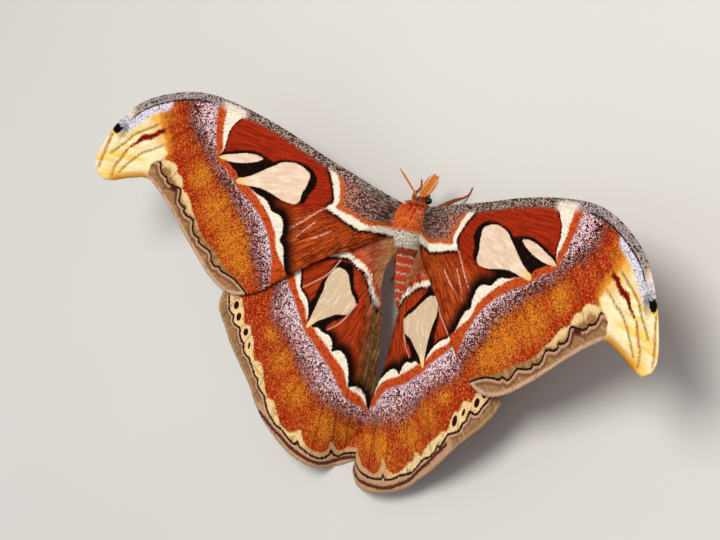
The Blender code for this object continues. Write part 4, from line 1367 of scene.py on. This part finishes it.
def body_skin(material):
    """One skin for head, thorax, abdomen and legs, joined by a union."""
    along, around = pairs(np.linspace(0, 1, BODY_RINGS), np.linspace(0, 1, BODY_SIDES, endpoint=False))
    points = body_point(along, around)
    marks = body_marks(points[:, 1], around, 0, ("tip", np.zeros(len(points))))
    faces = outward_faces(points, tube_faces(BODY_RINGS, BODY_SIDES))
    skin = make_mesh("body_skin", points, faces, material, marks, in_patch(BODY_PATCH, around, along))
    legs = bpy.data.collections.new("leg_forms")
    bpy.context.scene.collection.children.link(legs)
    for (row, hand), patch in zip(LEG_NAMES, LEG_PATCHES):
        points, faces = tube(*leg_path(row, hand), LEG_SIDES)
        share = np.repeat(np.linspace(0, 1, LEG_RINGS), LEG_SIDES)
        around = np.tile(np.arange(LEG_SIDES) / LEG_SIDES, LEG_RINGS)
        marks = body_marks(share, around, 1, ("tip", np.zeros(len(points))))
        leg = make_mesh("leg_form", points, faces, material, marks, in_patch(patch, around, share))
        bpy.context.scene.collection.objects.unlink(leg)
        legs.objects.link(leg)
    union = skin.modifiers.new("Legs", "BOOLEAN")
    union.operation = "UNION"
    union.operand_type = "COLLECTION"
    union.collection = legs
    graph = bpy.context.evaluated_depsgraph_get()
    joined = bpy.data.meshes.new_from_object(skin.evaluated_get(graph))
    skin.modifiers.clear()
    skin.data = joined
    restore_marks(joined)
    for leg in list(legs.objects):
        bpy.data.objects.remove(leg)
    bpy.data.collections.remove(legs)
    return skin


def body_material():
    """Red and orange pile: dark red face, orange thorax, white collar behind it, ringed red abdomen."""
    p = Painter("body_pile", (255, 94, 20))
    y, around, tip, part = p.mark("along"), p.mark("around"), p.mark("tip"), p.mark("part")
    chance = p.mark("chance")
    place = p.add("CombineXYZ", {0: y, 1: around * 34.0})
    patches = p.noise(place, 0.45, 3.0, 0.6)
    p.over(patches.fade(0.42, 0.62), (255, 118, 34))
    p.over(chance.fade(0.6, 1.0) * 0.85, (255, 160, 76))
    p.over(chance.fade(0.4, 0.0) * 0.6, (222, 58, 14))
    p.over(y.fade(-3.0, 1.5) * 0.7, (214, 50, 16))
    head = y.fade(0.8, 2.2)
    p.over(head, (118, 14, 10))
    p.over(head * chance.fade(0.6, 1.0), (176, 52, 26))
    p.over((y + patches * 1.2).fade(-6.2, -7.0) * y.fade(-14.2, -13.6), (255, 252, 238))
    abdomen = y.fade(-13.5, -13.9)
    p.over(abdomen, (222, 54, 20))
    p.over(abdomen * chance.fade(0.6, 1.0) * 0.8, (244, 92, 40))
    p.over(abdomen * y.fade(-18.5, -14.0), (140, 20, 14))
    wave = (p.noise(p.stretched(place, (0.2, 1, 1)), 0.9, 2.0, 0.6) - 0.5) * 2.6
    ring = p.math("FRACT", (ABDOMEN_FRONT_Y - 2.6 - (y + wave)) / 3.0 + 100.0)
    p.over(abdomen * ring.fade(0.17, 0.12), (255, 246, 232))
    p.over(part, (150, 58, 26))
    p.over(part * chance.fade(0.5, 1.0), (196, 104, 56))
    p.over(tip * 0.2, (252, 190, 120))
    return p.finish()


def shoulder_material():
    p = Painter("shoulder_pile", (244, 170, 96))
    chance, tip = p.mark("chance"), p.mark("tip")
    p.over(chance.fade(0.35, 0.0), (206, 84, 34))
    p.over(chance.fade(0.6, 1.0), (246, 214, 164))
    p.over(tip * 0.3, (252, 230, 190))
    return p.finish()


def plain_material(name, ground, roughness, specular):
    p = Painter(name, ground)
    paler = tuple(min(255, int(value * 1.3 + 14)) for value in ground)
    p.over(p.noise(p.object_place(), 2600.0, 2.0).fade(0.4, 0.7), paler)
    return p.finish(roughness, specular)


def eye_material():
    p = Painter("compound_eye", (16, 8, 8))
    heart = p.cells(p.object_place(), 9000.0)[-1]
    p.over(heart.fade(0.2, 0.6), (38, 20, 18))
    p.bump(heart, 0.4, -0.04)
    return p.finish(0.25, 0.3)


def body_tufts(material, rng):
    """The pile of the head, thorax and abdomen, in locks that lie back along the body."""
    pieces = []
    for name, count, (rear, front), size, width, rise, clumps, pull, mess in BODY_COAT:
        tries = 3 * count
        y = rng.uniform(rear, front, tries)
        around = rng.random(tries)
        along, here, normal, back = body_frame(y, around)
        radius = station_value(y, 2)
        keep = rng.random(tries) < radius / radius.max()
        fields = (along, here, normal, back, y, around)
        along, here, normal, back, y, around = [field[keep][:count] for field in fields]
        n = len(here)
        lie = unit(clear_of(unit(back + rng.normal(0, COAT_SPREAD, (n, 3)) * mess), normal))
        lengths = rng.uniform(*size, n)
        if name == "head_pile":
            # Short round the eyes
            from_eye = np.hypot(np.abs(here[:, 0]) - 1.6, here[:, 1] - EYE_AT[1])
            lengths *= np.where(from_eye < 1.1, 0.35, 1.0)
        reach = here + lie * lengths[:, None]
        tips = clump(here, reach, clumps, pull, rng) + normal * rng.normal(0, 0.18 * mess, (n, 1))
        marks = body_marks(y, around, 0, ("chance", rng.random(n)))
        places = in_patch(BODY_PATCH, around, along)
        widths = rng.uniform(*width, n)
        piece = tuft_mesh(name, material, here, lie, normal, lengths, widths, rise, marks, places, tips)
        pieces.append(piece)
    return pieces


def face_tufts(material, rng):
    """The tuft at the front of the face, with a small palp on each side."""
    count, size, width, rise = COATS["face"]
    y, z, wide, high, _ = STATIONS[0]
    angle, reach = rng.random(count) * 2 * np.pi, np.sqrt(rng.random(count))
    across, up = reach * np.cos(angle) * wide, z + reach * np.sin(angle) * high
    root = np.stack([across, np.full(count, y), up], axis=-1)
    normal = unit(np.stack([across * 0.5, np.ones(count), (up - z) * 0.4], axis=-1))
    lie = unit(np.array([0.0, 0.35, -1.0]) + rng.normal(0, 0.15, (count, 3)))
    lie = unit(clear_of(lie, normal))
    along = rng.random(PALP_LOCKS)
    side = np.where(rng.random(PALP_LOCKS) < 0.5, -1.0, 1.0)
    swirl = rng.random(PALP_LOCKS) * 2 * np.pi
    spread = 0.28 * np.sqrt(1 - along)
    height = 8.75 - 0.3 * along + spread * np.sin(swirl)
    palp = np.stack([side * 0.55 + spread * np.cos(swirl), 5.5 + 0.55 * along, height], -1)
    root = np.concatenate([root, palp])
    normal = np.concatenate([normal, np.tile([0.0, 0.8, -0.6], (PALP_LOCKS, 1))])
    lie = np.concatenate([lie, unit(np.array([0.0, 0.8, 0.1]) + rng.normal(0, 0.12, (PALP_LOCKS, 3)))])
    n = len(root)
    marks = body_marks(np.full(n, 5.0), rng.random(n), 0, ("chance", rng.random(n)))
    places = np.column_stack([rng.uniform(0.02, 0.58, n), np.full(n, 0.014)])
    lengths, widths = rng.uniform(*size, n), rng.uniform(*width, n)
    return tuft_mesh("face_pile", material, root, lie, normal, lengths, widths, rise, marks, places)


def claw_piece(material):
    """Two small hooked claws at the end of each leg."""
    f = np.linspace(0, 1, 6)[:, None]
    down = np.array([0, 0, 1.0])
    claws = []
    for row, hand in LEG_NAMES:
        path, _ = leg_path(row, hand)
        ahead = unit(path[-1] - path[-4])
        across = np.array([-ahead[1], ahead[0], 0.0])
        for way in (-1, 1):
            line = path[-1] + ahead * (0.75 * f - 0.15) + across * way * (0.1 + 0.22 * f)
            claws.append(tube(line - down * 0.2 * f ** 2, CLAW_RADIUS * (1.15 - f[:, 0]), 6))
    return tubes_piece("claws", claws, material)


def leg_tufts(material, rng):
    """Short hair along the legs, pointing to the feet."""
    count, size, width, rise = COATS["leg"]
    groups = []
    for (row, hand), patch in zip(LEG_NAMES, LEG_PATCHES):
        path, radii = leg_path(row, hand)
        share = rng.random(count) * 0.97
        around = rng.random(count)
        position = share * (len(path) - 1)
        low = position.astype(int)
        f = (position - low)[:, None]
        centre = path[low] * (1 - f) + path[low + 1] * f
        radius = radii[low] * (1 - f[:, 0]) + radii[low + 1] * f[:, 0]
        ahead = unit(path[low + 1] - path[low])
        sideways = unit(np.cross(ahead, [0.0, 0.0, 1.0]))
        up = np.cross(sideways, ahead)
        angle = 2 * np.pi * around
        normal = sideways * np.cos(angle)[:, None] + up * np.sin(angle)[:, None]
        root = centre + normal * radius[:, None]
        length = np.interp(share, *LEG_HAIR_LENGTHS) * rng.uniform(*size, count)
        keep = root[:, 2] - 0.3 * length * (share > 0.6) > 4 * FLOOR_GAP
        places = in_patch(patch, around, share)
        groups.append([a[keep] for a in (root, ahead, normal, length, share, around, places)])
    root, ahead, normal, length, share, around, places = [np.concatenate(a) for a in zip(*groups)]
    n = len(root)
    marks = body_marks(share, around, 1, ("chance", rng.random(n)))
    lie = unit(ahead + rng.normal(0, 0.12, (n, 3)))
    widths = rng.uniform(*width, n)
    return tuft_mesh("leg_pile", material, root, lie, normal, length, widths, rise, marks, places,
                     lowest=2 * FLOOR_GAP)


def shoulder_tufts(material, rng):
    """Long pale and orange tufts that hang from the thorax's sides over the wings' bases."""
    count, size, width, rise = COATS["shoulder"]
    around = np.where(rng.random(count) < 0.5, rng.uniform(0.03, 0.15, count), rng.uniform(0.35, 0.47, count))
    y = rng.uniform(-11.5, 0.6, count)
    along, here, normal, back = body_frame(y, around)
    side = np.sign(here[:, 0])[:, None] * np.array([1.0, 0.0, 0.0])
    lie = unit(clear_of(unit(back * 0.75 + side * 0.7 + rng.normal(0, 0.12, (count, 3))), normal, 0.8))
    lengths = rng.uniform(*size, count)
    tips = clump(here, here + lie * lengths[:, None], SHOULDER_CLUMPS, 0.5, rng)
    marks = body_marks(y, around, 0, ("chance", rng.random(count)))
    places = in_patch(BODY_PATCH, around, along)
    widths = rng.uniform(*width, count)
    return tuft_mesh("shoulder_pile", material, here, lie, normal, lengths, widths, rise, marks, places, tips)


def wing_frame(name, s, t):
    """Position, upward normal, outward and rearward directions, marks and bake places at points of a wing."""
    def at(s, t):
        return wing_surface(name, np.clip(s, 0, 1), np.clip(t, 0, 1))[1]

    step = 0.003
    uv, here = wing_surface(name, s, t)
    outward = at(s + step, t) - at(s - step, t)
    rearward = at(s, t + step) - at(s, t - step)
    normal = unit(np.cross(outward, rearward))
    normal = normal * np.where(normal[:, 2] < 0, -1, 1)[:, None]
    marks = wing_marks(name, uv)
    marks["under"] = np.zeros(len(s))
    marks["vein"] = np.full(len(s), VEIN_FAR)
    return here, normal, unit(outward), unit(rearward), marks, in_patch(WING_PATCH, s, t)


def wing_hair(name, material, rng):
    """Long hair scales at the base of a wing and along its inner margin, lying outward."""
    count, size, width, rise = COATS["hair"]
    s, t = rng.random(count) ** 1.3, rng.random(count)
    here, normal, outward, _, marks, places = wing_frame(name, s, t)
    u, v = marks["plan"][:, 0], marks["plan"][:, 1]
    if name.startswith("fore"):
        near_base = np.exp(-(u / 9.0) ** 2)
        field = 0.35 * (marks["am_zone"] > 1) * (marks["pm_in"] < -2) * (v < -8)
        share = near_base + field + 0.5 * smooth((t - 0.9) / 0.1) * (u < 44)
        long = 1.2 + 1.6 * near_base + 0.8 * field
    else:
        near_base = np.exp(-(np.hypot(u - 3, v + 6) / 11.0) ** 2)
        fold = smooth((9 - u) / 9) * (marks["pm_in"] < -1)
        share = near_base + 0.9 * fold
        long = 1.4 + 1.4 * near_base + 1.6 * fold
    keep = (rng.random(count) < share) & (marks["window"] > 0.6) & (s < 0.97)
    here, normal, outward, long, places = [a[keep] for a in (here, normal, outward, long, places)]
    marks = {key: value[keep] for key, value in marks.items()}
    n = len(here)
    lie = unit(outward + rng.normal(0, 0.07, (n, 3)))
    lengths = long * rng.uniform(*size, n)
    widths = rng.uniform(*width, n)
    root = here + normal * MEMBRANE_HALF
    return tuft_mesh(name + "_hair", material, root, lie, normal, lengths, widths, rise, marks, places,
                     sink=0.05, flat=0.2)


def wing_fringe(name, material, rng):
    """A fine fringe of scales along the outer and inner margins."""
    count, size, width, rise = COATS["fringe"]
    outer, inner = rng.random(count), rng.random(count // 2)
    s = np.concatenate([np.full(len(outer), MARGIN), inner])
    t = np.concatenate([outer, np.full(len(inner), MARGIN)])
    n = len(s)
    here, normal, outward, rearward, marks, places = wing_frame(name, s, t)
    on_outer = (np.arange(n) < count)[:, None]
    off_edge, along = np.where(on_outer, outward, rearward), np.where(on_outer, rearward, outward)
    lie = unit(clear_of(off_edge, along) + rng.normal(0, 0.12, (n, 3)))
    lengths, widths = rng.uniform(*size, n), rng.uniform(*width, n)
    root = here - lie * FRINGE_OVERLAP
    return tuft_mesh(name + "_fringe", material, root, lie, normal, lengths, widths, rise, marks, places,
                     sink=0.0)


def antenna_piece(hand, material):
    """A feathered antenna: a jointed shaft with four fine branches at each joint, in one mesh."""
    azimuth, elevation = math.radians(ANTENNA_AZIMUTH), math.radians(ANTENNA_ELEVATION[hand])
    flat = math.cos(elevation)
    shaft = np.array([flat * math.sin(azimuth), flat * math.cos(azimuth), math.sin(elevation)])
    comb = np.array(COMB_DIRECTION[hand])
    comb = comb - shaft * (comb @ shaft)
    comb = comb / np.linalg.norm(comb)
    across = np.cross(shaft, comb)
    mirror = np.array([SIDES[hand], 1, 1])
    base = np.array(ANTENNA_BASE)
    steps = np.linspace(0, 1, 4 * ANTENNA_JOINTS + 1)
    radii = ANTENNA_RADIUS * (1.15 - 0.6 * steps) * (1 + 0.12 * np.cos(steps * 2 * np.pi * ANTENNA_JOINTS))
    tubes = [tube((base + shaft * ANTENNA_LENGTH * steps[:, None]) * mirror, radii, 10)]
    start, run, power = COMB_ARCH
    f = np.linspace(0, 1, 5)[:, None]
    for joint in range(ANTENNA_JOINTS):
        along = (joint + COMB_MARGINS[0]) / (ANTENNA_JOINTS + COMB_MARGINS[1])
        length = COMB_LENGTH * 1.02 * math.sin(math.pi * (start + run * along)) ** power
        root = base + shaft * ANTENNA_LENGTH * along
        for way, tilt in [(way, tilt) for way in (-1, 1) for tilt in BRANCH_TILTS]:
            direction = comb * way + shaft * (COMB_LEAN + 0.5 * tilt) + across * tilt
            line = root + length * (direction * f + shaft * 0.22 * f * f)
            tubes.append(tube(line * mirror, BRANCH_RADIUS * (1 - 0.6 * f[:, 0]), 5))
    return tubes_piece("antenna_plume_" + hand, tubes, material)


def eye_piece(hand, material):
    centre = (np.array(EYE_AT) * [SIDES[hand], 1, 1] + SHIFT) * MM
    bm = bmesh.new()
    bmesh.ops.create_icosphere(bm, subdivisions=5, radius=EYE_RADIUS * MM)
    for vertex in bm.verts:
        vertex.co = vertex.co + Vector(centre)
    mesh = bpy.data.meshes.new("eye_facets_" + hand)
    bm.to_mesh(mesh)
    bm.free()
    mesh.shade_smooth()
    mesh.materials.append(material)
    return add_object("eye_facets_" + hand, mesh)


def make_camera():
    turned = turn("y", -CAMERA_ACROSS) @ turn("x", CAMERA_BACK) @ turn("z", CAMERA_ROLL)
    place = CAMERA_TARGET + SHIFT + CAMERA_DISTANCE * turned[:, 2]
    data = bpy.data.cameras.new("view")
    data.sensor_width = SENSOR_WIDTH
    data.sensor_fit = "HORIZONTAL"
    data.lens = CAMERA_LENS
    data.clip_start, data.clip_end = 0.01, 20.0
    camera = add_object("view", data)
    camera.matrix_world = Matrix.Translation(Vector(place * MM)) @ Matrix(turned.tolist()).to_4x4()
    bpy.context.scene.camera = camera


def make_studio():
    bm = bmesh.new()
    bmesh.ops.create_circle(bm, cap_ends=True, segments=96, radius=FLOOR_RADIUS)
    mesh = bpy.data.meshes.new("floor")
    bm.to_mesh(mesh)
    bm.free()
    floor = add_object("floor", mesh)
    p = Painter("floor", (206, 204, 199))
    p.over(p.noise(p.object_place(), 3.0, 3.0).fade(0.3, 0.7), (201, 199, 194))
    mesh.materials.append(p.finish(0.8, 0.2))
    world = bpy.data.worlds.new("studio")
    world.use_nodes = True
    background = world.node_tree.nodes["Background"]
    background.inputs["Color"].default_value = SKY
    background.inputs["Strength"].default_value = SKY_STRENGTH
    bpy.context.scene.world = world
    for name, place, size, power, colour in LIGHTS:
        data = bpy.data.lights.new(name, "AREA")
        data.shape = "DISK"
        data.size = size
        data.energy = power
        data.color = colour
        lamp = add_object(name, data)
        lamp.location = place
        lamp.rotation_euler = Vector(place).to_track_quat("Z", "Y").to_euler()


def main():
    rng = np.random.default_rng(SEED)
    bpy.context.scene.view_settings.view_transform = "Standard"
    make_camera()
    make_studio()
    fore, hind = fore_material(), hind_material()
    for name in WINGS:
        material = fore if name.startswith("fore") else hind
        membrane = wing_piece(name, material)
        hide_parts(name)
        for piece in (membrane, wing_hair(name, material, rng), wing_fringe(name, material, rng)):
            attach(piece, "root")
    pile = body_material()
    skin = body_skin(pile)
    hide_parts("head", "thorax", "abdomen", *["leg_%s_%s" % leg for leg in LEG_NAMES])
    coat = body_tufts(pile, rng) + [leg_tufts(pile, rng), face_tufts(pile, rng)]
    coat.append(shoulder_tufts(shoulder_material(), rng))
    claws = claw_piece(plain_material("claw", (34, 16, 10), 0.35, 0.4))
    for piece in [skin, claws] + coat:
        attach(piece, "root")
    plume, facets = plain_material("antenna_plume", (206, 112, 22), 0.6, 0.1), eye_material()
    for hand in SIDES:
        antenna = antenna_piece(hand, plume)
        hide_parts("antenna_" + hand)
        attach(antenna, "root")
        eye = eye_piece(hand, facets)
        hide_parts("eye_" + hand)
        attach(eye, "root")


main()
